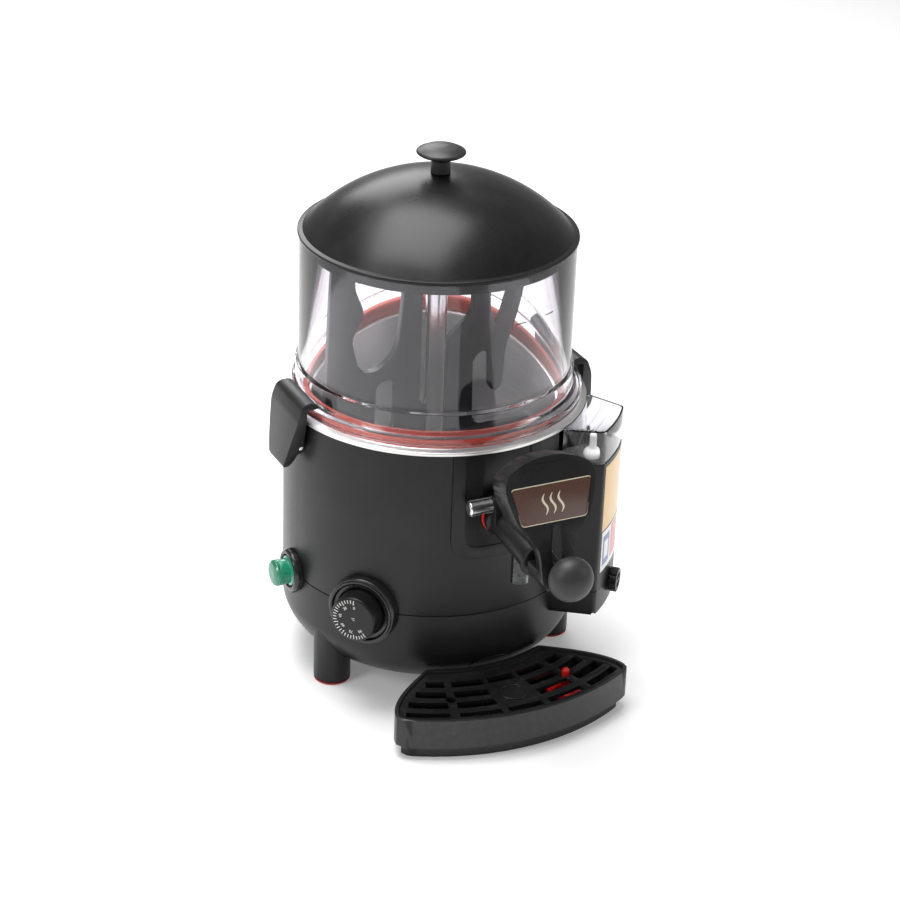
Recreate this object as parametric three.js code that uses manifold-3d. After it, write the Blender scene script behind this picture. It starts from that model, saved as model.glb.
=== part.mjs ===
// Hot-drink dispenser with a clear bowl, a stirrer, a lift tap and a drip tray.
// Millimetres, +Z up, floor at z = 0. The machine's axis is upright and the tap points along -Y.
// An angle "beta" on the round body is measured from -Y towards +X.
import * as THREE from 'three';
import { mergeVertices } from 'three/addons/utils/BufferGeometryUtils.js';
import Module from 'manifold-3d';

const wasm = await Module();
wasm.setup();

// ---------- driving dimensions ----------
const GAP = 0.35;               // running gap between touching pieces
const WALL = 2.5;               // moulded wall thickness
const ROUND = 40;               // facets round the big turned pieces
const SMALL_ROUND = 20;         // facets round knobs and pins

const BODY_R = 128.4;           // outside of the round body
const SEAM_Z = 92;              // joint between base pan and body shell
const SHELL_TOP_Z = 242;
const BASE_FLAT_R = 69;
const BASE_FLAT_Z = 9.5;
const BASE_ROUND_TOP_Z = 56;
const FOOT_R = 16;
const FOOT_CIRCLE_R = 112;
const FOOT_ANGLES = { front_left: -72, front_right: 72, rear_right: 150, rear_left: -150 };
const FOOT_TOP_Z = 44;
const PAD_H = 2.2;

const BAND_TOP_Z = 245.7;       // top of the tank's rolled flange, seen as a steel band
const FLANGE_R = 126.4;         // bowl flange
const FLANGE_TOP_Z = 256;
const COLLAR_R = 118.5;
const BOWL_R = 116;
const BOWL_WALL = 4;
const BOWL_TOP_Z = 386;
const TANK_R = 105;             // outside of the tank's straight wall
const TANK_BOTTOM_Z = 141;
const JACKET_R = 119;
const JACKET_BOTTOM_Z = 122;

const LID_R = 117.5;
const LID_RIM_H = 3.5;
const DOME_R = 155.2;            // radius of curvature of the lid
const DOME_EDGE_R = 113;
const KNOB_TOP_Z = 463;

const CLAMP_ANGLES = { left: -90, right: 90 };
const CLAMP_PIVOT = { out: 131, z: 219 };

const DIAL_ANGLE = -50;
const SWITCH_ANGLE = -90;
const SWITCH_Z = 93;

const TAP_ROOT = { out: 121, z: 186 };
const TAP_LENGTH = 79.5;
const TAP_R = 13;
const TAP_CAP_R = 14.6;
const TAP_HOLE_R = 14.8;
const TAP_TILT = THREE.MathUtils.degToRad(6.6);
const LEVER_PIVOT = { out: 141, z: 201.5 };
const SPOUT_OUT = 171.7;
const SPOUT_BOTTOM_Z = 143.4;
const KNOB_OUT = 256.6;
const KNOB_Z = 189;
const HOOD_FOOT = { out: 241, z: 173 };
const HOOD_LENGTH = 107.7;
const HOOD_LEAN = THREE.MathUtils.degToRad(17);
const HOOD_DEPTH = 23;

const BOX_OUTER_R = 164;        // the water box's outer wall is curved about the machine's axis
const BOX_FRONT_ANGLE = 35.3;   // its two outer corners
const BOX_REAR_ANGLE = 55.3;
const BOX_TOP_Z = 213.5;
const CAP_TOP_Z = 244.5;
const SKIRT_BOTTOM_Z = 70;
const LEVEL_FLOAT = { x: 94, y: -115 };
const DRAIN_ANGLE = 48.5;
const DRAIN_Z = 87;

const TRAY_FRONT_R = 206.5;
const TRAY_BACK_R = 124;
const TRAY_TOP_Z = 38;
const TRAY_RIM_BOTTOM_Z = 11.5;
const RESERVOIR_INSET = 6;      // the tray's lower part stands inside its rim

// ---------- finishes ----------
const finish = (color, roughness, metalness = 0) =>
  new THREE.MeshStandardMaterial({ color, roughness, metalness });
const clearFinish = (color) =>
  new THREE.MeshStandardMaterial({ color, roughness: 0.08, transparent: true, opacity: 0.3 });
const BLACK = finish(0x1c1c1e, 0.45);
const DARK_GREY = finish(0x3b3c3e, 0.4);
const STEEL = finish(0xc8c8c6, 0.25, 1);
const SILICONE = finish(0xc4442c, 0.6);
const RED = finish(0xd01c1c, 0.4);
const WHITE = finish(0xe8e8e4, 0.5);
const GREEN = finish(0x1b8a5a, 0.2);
const BROWN = finish(0x4a2c20, 0.4);
const CLEAR = clearFinish(0xe6e2ee);

// ---------- solid tools ----------
const rad = THREE.MathUtils.degToRad;

// One closed body: position only, shared vertices merged, faces pointing out.
function closed(geometry) {
  const bare = geometry.index ? geometry.toNonIndexed() : geometry.clone();
  bare.deleteAttribute('normal');
  bare.deleteAttribute('uv');
  const merged = mergeVertices(bare, 1e-4);
  const source = merged.index.array;
  const kept = [];
  const a = new THREE.Vector3();
  const b = new THREE.Vector3();
  const c = new THREE.Vector3();
  let volume = 0;
  for (let i = 0; i < source.length; i += 3) {
    const [p, q, r] = [source[i], source[i + 1], source[i + 2]];
    if (p === q || q === r || r === p) continue;
    kept.push(p, q, r);
    a.fromBufferAttribute(merged.attributes.position, p);
    b.fromBufferAttribute(merged.attributes.position, q);
    c.fromBufferAttribute(merged.attributes.position, r);
    volume += a.dot(b.cross(c));
  }
  if (volume < 0) kept.reverse();
  merged.setIndex(kept);
  return merged;
}

function toSolid(geometry) {
  const body = closed(geometry);
  return new wasm.Manifold(new wasm.Mesh({
    numProp: 3,
    vertProperties: new Float32Array(body.attributes.position.array),
    triVerts: new Uint32Array(body.index.array),
  }));
}

function toGeometry(solid) {
  const mesh = solid.getMesh();
  const geometry = new THREE.BufferGeometry();
  geometry.setAttribute('position', new THREE.BufferAttribute(mesh.vertProperties, 3));
  geometry.setIndex(new THREE.BufferAttribute(mesh.triVerts, 1));
  return geometry;
}

function join(...geometries) {
  return toGeometry(geometries.map(toSolid).reduce((sum, next) => sum.add(next)));
}

function cut(geometry, ...tools) {
  return toGeometry(tools.map(toSolid).reduce((rest, tool) => rest.subtract(tool), toSolid(geometry)));
}

function common(first, second) {
  return toGeometry(toSolid(first).intersect(toSolid(second)));
}

// A turned piece: profile of [radius, z] points, on the axis or closed on itself.
function turned(profile, facets = ROUND) {
  const points = profile.map(([r, z]) => new THREE.Vector2(r, z));
  return closed(new THREE.LatheGeometry(points, facets).rotateX(Math.PI / 2));
}

const ring = (inner, outer, low, high, facets = ROUND) =>
  turned([[inner, low], [outer, low], [outer, high], [inner, high], [inner, low]], facets);
const disc = (radius, low, high, facets = ROUND) =>
  turned([[0, low], [radius, low], [radius, high], [0, high]], facets);

// A round bar along -Y (outward at beta = 0), from one distance to another, at height z.
function outwardRod(radius, from, to, z, facets = SMALL_ROUND) {
  const rod = new THREE.CylinderGeometry(radius, radius, to - from, facets);
  return closed(rod.translate(0, -(from + to) / 2, z));
}

// A round bar along X.
function crossRod(radius, from, to, out, z, facets = SMALL_ROUND) {
  const rod = new THREE.CylinderGeometry(radius, radius, to - from, facets).rotateZ(Math.PI / 2);
  return closed(rod.translate((from + to) / 2, -out, z));
}

function block(width, depth, height, x, y, z) {
  return closed(new THREE.BoxGeometry(width, depth, height).translate(x, y, z));
}

function slab(shape, low, high, curveSegments = 6) {
  const geometry = new THREE.ExtrudeGeometry(shape, {
    depth: high - low, bevelEnabled: false, curveSegments, steps: 1,
  });
  return closed(geometry.translate(0, 0, low));
}

// A plate whose outline is drawn in x and height, standing between two distances outward.
function uprightSlab(shape, from, to, curveSegments = 6) {
  return closed(slab(shape, from, to, curveSegments).rotateX(Math.PI / 2));
}

// A plate whose outline is drawn in distance outward and height, as wide as twice the half width.
function sideSlab(shape, halfWidth) {
  return closed(slab(shape, -halfWidth, halfWidth).rotateX(Math.PI / 2).rotateZ(-Math.PI / 2));
}

function roundedPolygon(corners, radii) {
  const shape = new THREE.Shape();
  corners.forEach((corner, i) => {
    const before = corners[(i + corners.length - 1) % corners.length];
    const after = corners[(i + 1) % corners.length];
    const radius = Array.isArray(radii) ? radii[i] : radii;
    const start = corner.clone().add(before.clone().sub(corner).setLength(radius));
    const end = corner.clone().add(after.clone().sub(corner).setLength(radius));
    if (i === 0) shape.moveTo(start.x, start.y);
    else shape.lineTo(start.x, start.y);
    if (radius > 0) shape.quadraticCurveTo(corner.x, corner.y, end.x, end.y);
  });
  shape.closePath();
  return shape;
}

// Counter-clockwise convex corners moved inwards by a distance.
function insetCorners(corners, distance) {
  const count = corners.length;
  return corners.map((corner, i) => {
    const before = corners[(i + count - 1) % count];
    const after = corners[(i + 1) % count];
    const in1 = corner.clone().sub(before).normalize();
    const in2 = after.clone().sub(corner).normalize();
    const n1 = new THREE.Vector2(-in1.y, in1.x);
    const n2 = new THREE.Vector2(-in2.y, in2.x);
    const bisector = n1.clone().add(n2).normalize();
    return corner.clone().addScaledVector(bisector, distance / bisector.dot(n1));
  });
}

const machine = new THREE.Group();

function piece(name, geometry, material, parent = machine) {
  const mesh = new THREE.Mesh(geometry, material);
  mesh.name = name;
  parent.add(mesh);
  return mesh;
}

// A nested group whose own -Y is the outward direction at the given beta.
function station(beta) {
  const group = new THREE.Group();
  group.rotation.z = rad(beta);
  machine.add(group);
  return group;
}

const bodyTool = (radius, low, high) => disc(radius, low, high);

// ---------- base pan, feet and the skirt under the water box ----------
const polar = (r, beta) => new THREE.Vector2(r * Math.sin(rad(beta)), -r * Math.cos(rad(beta)));

// Inner corners lie inside the round body, which cuts them away.
const BOX_WALL_STEPS = 5;
const BOX_CORNERS = [new THREE.Vector2(70, -70), new THREE.Vector2(45.4, -104)];
for (let i = 0; i <= BOX_WALL_STEPS; i += 1) {
  const turn = (BOX_REAR_ANGLE - BOX_FRONT_ANGLE) * (i / BOX_WALL_STEPS);
  BOX_CORNERS.push(polar(BOX_OUTER_R, BOX_FRONT_ANGLE + turn));
}
BOX_CORNERS.push(new THREE.Vector2(111.6, -47.8));
const BOX_RADII = [0, 0, 6, 0, 0, 0, 0, 4.5, 0];

function boxSlab(inset, low, high) {
  return slab(roundedPolygon(insetCorners(BOX_CORNERS, inset), BOX_RADII), low, high, 4);
}

// Superellipse from the flat bottom up to the straight wall.
function baseCurve(inset) {
  const steps = 5;
  const power = 2 / 1.8;
  const points = [];
  for (let i = 0; i <= steps; i += 1) {
    const turn = (i / steps) * (Math.PI / 2);
    const r = BASE_FLAT_R + (BODY_R - inset - BASE_FLAT_R) * Math.sin(turn) ** power;
    const z = BASE_ROUND_TOP_Z - (BASE_ROUND_TOP_Z - BASE_FLAT_Z - inset) * Math.cos(turn) ** power;
    points.push([r, z]);
  }
  return points;
}

function panBody(inset, top) {
  return turned([[0, BASE_FLAT_Z + inset], ...baseCurve(inset), [BODY_R - inset, top], [0, top]]);
}

const SPINDLE_HOLE_R = 4.5;
const SWITCH_HOLE_R = 11;
const wallHoles = () => [
  outwardRod(SPINDLE_HOLE_R, 110, 140, SEAM_Z).rotateZ(rad(DIAL_ANGLE)),
  outwardRod(SWITCH_HOLE_R, 110, 140, SWITCH_Z).rotateZ(rad(SWITCH_ANGLE)),
];

const PAN_TOP_Z = SEAM_Z - GAP / 2;

function basePan() {
  return cut(panBody(0, PAN_TOP_Z), panBody(WALL, SEAM_Z + 20), ...wallHoles());
}

function boxSkirt() {
  const upper = boxSlab(0, SKIRT_BOTTOM_Z + 6, PAN_TOP_Z);
  const lower = boxSlab(4, SKIRT_BOTTOM_Z, SKIRT_BOTTOM_Z + 7);
  return cut(join(upper, lower), bodyTool(BODY_R + GAP, 60, 100));
}

// A foot stands under the rounded edge of the pan and is shaped to it at the top.
function foot(beta) {
  return cut(disc(FOOT_R, PAD_H + GAP, FOOT_TOP_Z, SMALL_ROUND)
    .translate(0, -FOOT_CIRCLE_R, 0).rotateZ(rad(beta)), panBody(-GAP, SEAM_Z));
}

piece('base_pan', basePan(), BLACK);
piece('box_skirt', boxSkirt(), BLACK);
Object.entries(FOOT_ANGLES).forEach(([place, beta]) => {
  piece(`foot_${place}`, foot(beta), BLACK);
  piece(`foot_pad_${place}`, disc(FOOT_R, 0, PAD_H, SMALL_ROUND), RED, station(beta))
    .position.set(0, -FOOT_CIRCLE_R, 0);
});

// ---------- body shell and front plate ----------
function bodyShell() {
  const shell = ring(BODY_R - WALL, BODY_R, SEAM_Z + GAP / 2, SHELL_TOP_Z);
  return cut(shell, outwardRod(TAP_HOLE_R, 100, 150, TAP_ROOT.z - 1), ...wallHoles());
}

piece('body_shell', bodyShell(), BLACK);

function frontPlate() {
  const bottom = 146;
  const half = 40;
  const outline = (halfWidth, low) => roundedPolygon([
    new THREE.Vector2(-halfWidth, low), new THREE.Vector2(halfWidth, low),
    new THREE.Vector2(halfWidth, SHELL_TOP_Z), new THREE.Vector2(-halfWidth, SHELL_TOP_Z),
  ], [18, 18, 0, 0]);
  const outside = BODY_R + GAP;
  const skin = ring(outside, outside + 1.8, bottom - 5, SHELL_TOP_Z + 1);
  const plate = common(uprightSlab(outline(half, bottom), 90, 140), skin);
  const recess = common(uprightSlab(outline(half - 11, bottom + 11), 90, 140),
    ring(outside + 0.9, outside + 9, bottom - 8, SHELL_TOP_Z + 9));
  return cut(plate, recess, outwardRod(TAP_HOLE_R, 100, 150, TAP_ROOT.z - 1));
}

piece('front_plate', frontPlate(), BLACK);

// ---------- tank, water jacket and heater ----------
function tank() {
  const t = 1.5;
  const bend = 22;
  const low = TANK_BOTTOM_Z;
  const outerBend = [];
  const innerBend = [];
  for (let i = 0; i <= 3; i += 1) {
    const turn = (i / 3) * (Math.PI / 2);
    const r = TANK_R - bend;
    const z = low + bend;
    outerBend.push([r + bend * Math.sin(turn), z - bend * Math.cos(turn)]);
    innerBend.unshift([r + (bend - t) * Math.sin(turn), z - (bend - t) * Math.cos(turn)]);
  }
  return turned([
    [12, low], ...outerBend, [TANK_R, SHELL_TOP_Z + GAP], [BODY_R + 0.4, SHELL_TOP_Z + GAP],
    [BODY_R + 0.4, BAND_TOP_Z], [TANK_R - t, BAND_TOP_Z], ...innerBend, [12, low + t], [12, low],
  ]);
}

piece('tank', tank(), STEEL);
piece('water_jacket', turned([
  [12, JACKET_BOTTOM_Z], [JACKET_R, JACKET_BOTTOM_Z], [JACKET_R, 236], [JACKET_R - 2, 236],
  [JACKET_R - 2, JACKET_BOTTOM_Z + 2], [12, JACKET_BOTTOM_Z + 2], [12, JACKET_BOTTOM_Z],
], 32), STEEL);
piece('heater_element', new THREE.TorusGeometry(78, 4, 6, 20).translate(0, 0, 131.5), STEEL);
piece('gasket', ring(106, 111, BAND_TOP_Z + GAP, 255), SILICONE);

// ---------- clear bowl ----------
piece('bowl', turned([
  [BOWL_R - BOWL_WALL, BAND_TOP_Z + GAP], [FLANGE_R, BAND_TOP_Z + GAP], [FLANGE_R, FLANGE_TOP_Z],
  [COLLAR_R, FLANGE_TOP_Z + 1], [COLLAR_R, 274], [BOWL_R, 275.5], [BOWL_R, BOWL_TOP_Z],
  [BOWL_R - BOWL_WALL, BOWL_TOP_Z], [BOWL_R - BOWL_WALL, BAND_TOP_Z + GAP],
]), CLEAR);

// ---------- stirrer drive ----------
piece('shaft_bushing', turned([
  [5.3, 116], [11.6, 116], [11.6, TANK_BOTTOM_Z + 1.9], [15, TANK_BOTTOM_Z + 1.9],
  [15, 146], [5.3, 146], [5.3, 116],
], SMALL_ROUND), WHITE);
piece('gearbox', cut(disc(34, 72, 100, 24), disc(5.4, 84, 101, SMALL_ROUND)), DARK_GREY);
piece('motor', disc(27, 22, 72 - GAP, 24), STEEL);

function motorBracket() {
  const plate = ring(12, 60, 100 + GAP, 103, 24);
  const posts = [0, 120, 240].map((beta) => disc(4, 102, JACKET_BOTTOM_Z - GAP, 8)
    .translate(0, -52, 0).rotateZ(rad(beta)));
  return join(plate, ...posts);
}

piece('motor_bracket', motorBracket(), STEEL);

// ---------- stirrer ----------
const STIRRER_HALF = 3.5;

function windowPath(corners, radius) {
  return roundedPolygon(corners.map(([x, z]) => new THREE.Vector2(x, z)), radius);
}

// Flat moulded frame in the XZ plane: upright bars on a web, open beside the central tube.
const STIRRER_OUTLINE = [
  [-76, 151], [76, 151], [95, 176], [95, 206], [36, 206], [36, 262], [53, 264], [53, 230], [65, 230],
  [69, 263], [82, 287], [96, 318], [96, 372], [76, 372], [76, 310], [61, 278], [53.5, 292],
  [53.5, 372], [36, 372], [36, 294], [23, 287], [11, 280], [11, 229], [-15, 229], [-15, 372],
  [-36, 372], [-33, 318], [-37, 284], [-45, 272], [-58, 266], [-72, 269], [-80, 298], [-69, 318],
  [-79, 340], [-79, 372], [-100, 372], [-100, 176],
];
const STIRRER_TUBE_R = 9.75;
const STIRRER_TUBE_BOTTOM_Z = 164;

function stirrerFrame() {
  const outline = roundedPolygon(STIRRER_OUTLINE.map(([x, z]) => new THREE.Vector2(x, z)), 4);
  outline.holes.push(windowPath([[-56, 214], [-38, 214], [-38, 257], [-56, 257]], 8));
  const frame = uprightSlab(outline, -STIRRER_HALF, STIRRER_HALF, 2);
  const hub = disc(14, 150, STIRRER_TUBE_BOTTOM_Z, SMALL_ROUND);
  const tubeHole = disc(STIRRER_TUBE_R + GAP, STIRRER_TUBE_BOTTOM_Z, 300, SMALL_ROUND);
  return cut(join(frame, hub), tubeHole, disc(5.35, 140, 170, SMALL_ROUND));
}

piece('stirrer_frame', stirrerFrame(), DARK_GREY);
piece('stirrer_tube', ring(STIRRER_TUBE_R - 1.5, STIRRER_TUBE_R, STIRRER_TUBE_BOTTOM_Z + GAP, 379,
  SMALL_ROUND), STEEL);
piece('drive_shaft', disc(5, 85, 215, SMALL_ROUND), STEEL);

// ---------- lid ----------
function lid() {
  const rimZ = BOWL_TOP_Z + GAP;
  const domeCentre = rimZ + LID_RIM_H - Math.sqrt(DOME_R ** 2 - DOME_EDGE_R ** 2);
  const steps = 5;
  const outside = [];
  const inside = [];
  const insideEdge = 108.6;
  for (let i = 0; i <= steps; i += 1) {
    const r = DOME_EDGE_R * (1 - i / steps);
    const ri = insideEdge * (i / steps);
    outside.push([r, domeCentre + Math.sqrt(DOME_R ** 2 - r ** 2)]);
    inside.push([ri, domeCentre + Math.sqrt((DOME_R - WALL) ** 2 - ri ** 2)]);
  }
  return turned([
    ...inside, [insideEdge, rimZ - 10], [BOWL_R - BOWL_WALL - 0.6, rimZ - 10],
    [BOWL_R - BOWL_WALL - 0.6, rimZ], [LID_R, rimZ], [LID_R, rimZ + LID_RIM_H - 0.6], ...outside,
  ]);
}

const LID_APEX_Z = BOWL_TOP_Z + GAP + LID_RIM_H + DOME_R - Math.sqrt(DOME_R ** 2 - DOME_EDGE_R ** 2);
piece('lid', cut(lid(), disc(3, 400, 460, 12)), BLACK);

piece('lid_knob', turned([
  [0, LID_APEX_Z + GAP], [8.4, LID_APEX_Z + GAP], [8.2, LID_APEX_Z + 3], [8, KNOB_TOP_Z - 12],
  [13, KNOB_TOP_Z - 9.8], [19.9, KNOB_TOP_Z - 8.2], [20.9, KNOB_TOP_Z - 6.4], [18.9, KNOB_TOP_Z - 4],
  [13, KNOB_TOP_Z - 1.4], [5, KNOB_TOP_Z], [0, KNOB_TOP_Z],
], 24), BLACK);
piece('lid_screw', turned([
  [0, LID_APEX_Z - WALL - 4.5], [5.5, LID_APEX_Z - WALL - 4.5], [5.5, LID_APEX_Z - WALL - 1.3],
  [2.5, LID_APEX_Z - WALL - 1.3], [2.5, LID_APEX_Z], [0, LID_APEX_Z],
], 12), STEEL);

// ---------- bowl clamps ----------
function clampLever() {
  const { out, z } = CLAMP_PIVOT;
  const side = [
    [119.4, 257], [119.8, 261], [124, 262.5], [130, 262], [135, 258], [140, 235], [145.5, 204],
    [144, 199.5], [139.5, 200], [134, 213], [out - 1.4, 213], [out - 1.4, 256.6], [out - 3.9, 257],
  ].map(([distance, height]) => new THREE.Vector2(distance, height));
  const front = roundedPolygon([
    new THREE.Vector2(-13, 197), new THREE.Vector2(13, 197), new THREE.Vector2(20, 214),
    new THREE.Vector2(30.5, 250), new THREE.Vector2(28, 265), new THREE.Vector2(-28, 265),
    new THREE.Vector2(-30.5, 250), new THREE.Vector2(-20, 214),
  ], [10, 10, 5, 5, 5, 5, 5, 5]);
  const shaped = common(sideSlab(roundedPolygon(side, 0), 31), uprightSlab(front, 100, 160, 3));
  const bodySide = bodyTool(BODY_R + 0.9, 190, BAND_TOP_Z + GAP);
  const flangeSide = bodyTool(FLANGE_R + 0.6, 240, FLANGE_TOP_Z + 0.7);
  const collarSide = bodyTool(COLLAR_R + 0.7, 250, 270);
  const lugPocket = block(22, 12, 22, 0, -(out - 1.2), z - 1);
  return cut(shaped, bodySide, flangeSide, collarSide, lugPocket, crossRod(2.1, -40, 40, out, z, 12));
}

function clampLug() {
  const { out, z } = CLAMP_PIVOT;
  const root = block(20, 8, 13, 0, -out + 3, z);
  const boss = crossRod(4.5, -10, 10, out, z, 16);
  return cut(join(root, boss), bodyTool(BODY_R + GAP, 200, 240), crossRod(2.2, -30, 30, out, z, 12));
}

Object.entries(CLAMP_ANGLES).forEach(([side, beta]) => {
  const place = station(beta);
  piece(`clamp_${side}`, clampLever(), BLACK, place);
  piece(`clamp_lug_${side}`, clampLug(), BLACK, place);
  piece(`clamp_pin_${side}`, crossRod(2, -20, 20, CLAMP_PIVOT.out, CLAMP_PIVOT.z, 12), STEEL, place);
});

// ---------- thermostat ----------
const dial = station(DIAL_ANGLE);
const DIAL_FRONT = 151;

function dialBezel() {
  const stepped = [[22, 120], [30.5, 120], [30.5, 135], [29, 137.5], [25.5, 137.5], [25.5, 134.5],
    [22, 134.5], [22, 120]];
  const turnedBezel = turned(stepped, 24).rotateX(Math.PI / 2).translate(0, 0, SEAM_Z);
  return cut(closed(turnedBezel), bodyTool(BODY_R + GAP + 0.15, 40, 140));
}

function dialKnob() {
  const profile = [[0, 116], [3, 116], [3, 132], [21, 132], [20.5, 149], [18.5, DIAL_FRONT],
    [0, DIAL_FRONT]];
  return closed(turned(profile, 24).rotateX(Math.PI / 2).translate(0, 0, SEAM_Z));
}

piece('thermostat_bezel', dialBezel(), BLACK, dial);
piece('thermostat_knob', dialKnob(), BLACK, dial);
piece('thermostat_body', cut(block(38, 26, 34, 0, -101, SEAM_Z), outwardRod(3.4, 113, 120, SEAM_Z)),
  WHITE, dial);

// ---------- power switch ----------
const switchStation = station(SWITCH_ANGLE);
const SWITCH_TRAVEL = 2.5;
const LENS_FRONT = 149.5;

function switchBezel() {
  const profile = [[14, 120], [19, 120], [19, 133.5], [17.8, 134.8], [14, 134.8], [14, 120]];
  return cut(closed(turned(profile, 24).rotateX(Math.PI / 2).translate(0, 0, SWITCH_Z)),
    bodyTool(BODY_R + GAP, 60, 140));
}

function switchLens() {
  const back = BODY_R + GAP + SWITCH_TRAVEL + 0.2;
  const profile = [[0, 120], [9, 120], [9, back], [13.4, back], [13.4, 134], [11, 135], [11, 144],
    [11.5, 144.3], [11.5, 147], [9, 149], [0, LENS_FRONT]];
  return closed(turned(profile, 24).rotateX(Math.PI / 2).translate(0, 0, SWITCH_Z));
}

piece('switch_bezel', switchBezel(), BLACK, switchStation);
piece('switch_lens', switchLens(), GREEN, switchStation);
piece('switch_body', block(24, 20, 30, 0, -106, SWITCH_Z), DARK_GREY, switchStation);

// ---------- tap ----------
// Built level along -Y from the root, then tilted about the root.
function tilted(geometry) {
  return geometry.rotateX(TAP_TILT).translate(0, -TAP_ROOT.out, TAP_ROOT.z);
}

const SEAL_FRONT = 132.4;
const STEM_HEAD_Z = 190;
const tapZ = (out) => TAP_ROOT.z - (out - TAP_ROOT.out) * Math.tan(TAP_TILT);
const atSpout = (geometry) => geometry.translate(0, -SPOUT_OUT, 0);

function leverLugs() {
  const { out, z } = LEVER_PIVOT;
  const ears = [-1, 1].map((side) => crossRod(8, side < 0 ? -13 : 7.4, side < 0 ? -7.4 : 13, out, z));
  const earFeet = [-1, 1].map((side) => block(5.6, 13, 16, side * 10.2, -out, z - 8));
  return cut(join(...ears, ...earFeet, crossRod(8, -9, 9, out, z - 9)),
    bodyTool(BODY_R + 6.6, 150, 240));
}

function tapBarrel() {
  const { out, z } = LEVER_PIVOT;
  const tube = disc(TAP_R, 0, TAP_LENGTH - 3, SMALL_ROUND).rotateX(Math.PI / 2);
  const bore = turned([[0, -1], [6.5, -1], [6.5, 59], [0, 59]], 12).rotateX(Math.PI / 2);
  const spout = atSpout(disc(7.5, SPOUT_BOTTOM_Z, tapZ(SPOUT_OUT), SMALL_ROUND));
  const spoutBore = atSpout(disc(5.6, SPOUT_BOTTOM_Z - 1, tapZ(SPOUT_OUT), 12));
  const stemBore = atSpout(disc(2.9, 170, 200, 12));
  const headPocket = atSpout(disc(4.7, STEM_HEAD_Z - GAP, 200, 16));
  return cut(join(tilted(tube), spout, leverLugs()), tilted(bore), spoutBore, stemBore, headPocket,
    crossRod(8.2, -7.1, 7.1, out, z), crossRod(2.6, -40, 40, out, z, 12));
}

piece('tap_barrel', tapBarrel(), BLACK);
piece('tap_seal', cut(ring(14, 15.9, 120, SEAL_FRONT, SMALL_ROUND).rotateX(Math.PI / 2)
  .translate(0, 0, tapZ(SEAL_FRONT)), bodyTool(BODY_R + 2.6, 150, 220)), SILICONE);
piece('tap_end_cap', tilted(disc(TAP_CAP_R, TAP_LENGTH - 3 + GAP, TAP_LENGTH + 2, SMALL_ROUND)
  .rotateX(Math.PI / 2)), BLACK);

function tapPin() {
  const { out, z } = LEVER_PIVOT;
  return join(crossRod(2.5, -16, 16, out, z, 12), crossRod(6.4, -34, -13.4, out, z, 12));
}

piece('tap_pin', tapPin(), STEEL);
piece('tap_plunger', atSpout(join(
  disc(2.6, SPOUT_BOTTOM_Z + 3, STEM_HEAD_Z + 1, 12),
  disc(5.2, SPOUT_BOTTOM_Z + 2, SPOUT_BOTTOM_Z + 6, 12),
  disc(4.2, STEM_HEAD_Z, STEM_HEAD_Z + 2.6, 12),
)), WHITE);

// The arm runs from the pivot towards the knob's centre and stops short of it.
function leverArm(radius, short) {
  const { out, z } = LEVER_PIVOT;
  const reach = KNOB_OUT - out;
  const slope = Math.atan2(z - KNOB_Z, reach);
  return closed(new THREE.CylinderGeometry(radius, radius, reach - short, 10)
    .translate(0, -(reach - short) / 2, 0).rotateX(slope).translate(0, -out, z));
}

function tapLever() {
  const { out, z } = LEVER_PIVOT;
  const hub = crossRod(5.6, -6.8, 6.8, out, z);
  return cut(join(hub, leverArm(3, 6)), crossRod(2.7, -10, 10, out, z, 12));
}

piece('tap_lever', tapLever(), BLACK);

function leverKnob() {
  const ball = new THREE.SphereGeometry(1, 16, 10).scale(18.5, 15.7, 18.5);
  return cut(ball.translate(0, -KNOB_OUT, KNOB_Z), leverArm(3.4, 5.6));
}

piece('lever_knob', leverKnob(), BLACK);

// ---------- hood in front of the tap ----------
// Half outline of the face, [half width, height along the face].
const HOOD_HALF = [[11, 0], [15, 5], [15, 34], [22, 42], [32, 55], [39.5, 80], [40, 90], [35, 98],
  [22, 105], [8, HOOD_LENGTH]];
const HOOD_TOP_POINTS = 3;

// The outline moved inwards; its foot rises and its top points come down by the same distance.
function hoodOutline(inset) {
  const right = HOOD_HALF.map(([x, v], i) => {
    const atTop = i >= HOOD_HALF.length - HOOD_TOP_POINTS;
    const rise = (i === 0 ? inset : 0) - (atTop ? inset : 0);
    return new THREE.Vector2(Math.max(x - inset * 0.9, 2), v + rise);
  });
  const left = right.map((point) => new THREE.Vector2(-point.x, point.y)).reverse();
  return new THREE.Shape([...right, ...left]);
}

// The sides are shallow on the leg and deep beside the face.
function hoodSides() {
  const profile = [[1, -2], [1, HOOD_LENGTH + 2], [-HOOD_DEPTH, HOOD_LENGTH + 2], [-HOOD_DEPTH, 60],
    [-LEG_DEPTH, 30], [-LEG_DEPTH, -2]];
  return sideSlab(new THREE.Shape(profile.map(([out, v]) => new THREE.Vector2(out, v))), 50);
}

// A neck in the leg carries the hood on the tap's end cap.
const LEG_DEPTH = 9;
const NECK_BACK = 204.5;
const NECK_FRONT = 238.8;

// The face is drawn in x and height; the shell goes back from it, then leans onto the machine.
function onHood(geometry) {
  return geometry.rotateX(-HOOD_LEAN).translate(0, -HOOD_FOOT.out, HOOD_FOOT.z);
}

function hood() {
  const shell = common(uprightSlab(hoodOutline(0), -HOOD_DEPTH, 0), hoodSides());
  const hollow = uprightSlab(hoodOutline(WALL), -HOOD_DEPTH - 1, -WALL);
  const slot = block(9.5, 10, 46, 0, 0, 28);
  const recess = uprightSlab(labelOutline(0.35), -0.9, 1);
  const neck = block(22, NECK_FRONT - NECK_BACK, 12, 0, -(NECK_FRONT + NECK_BACK) / 2, 176);
  return join(onHood(cut(shell, hollow, slot, recess)), neck);
}

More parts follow.
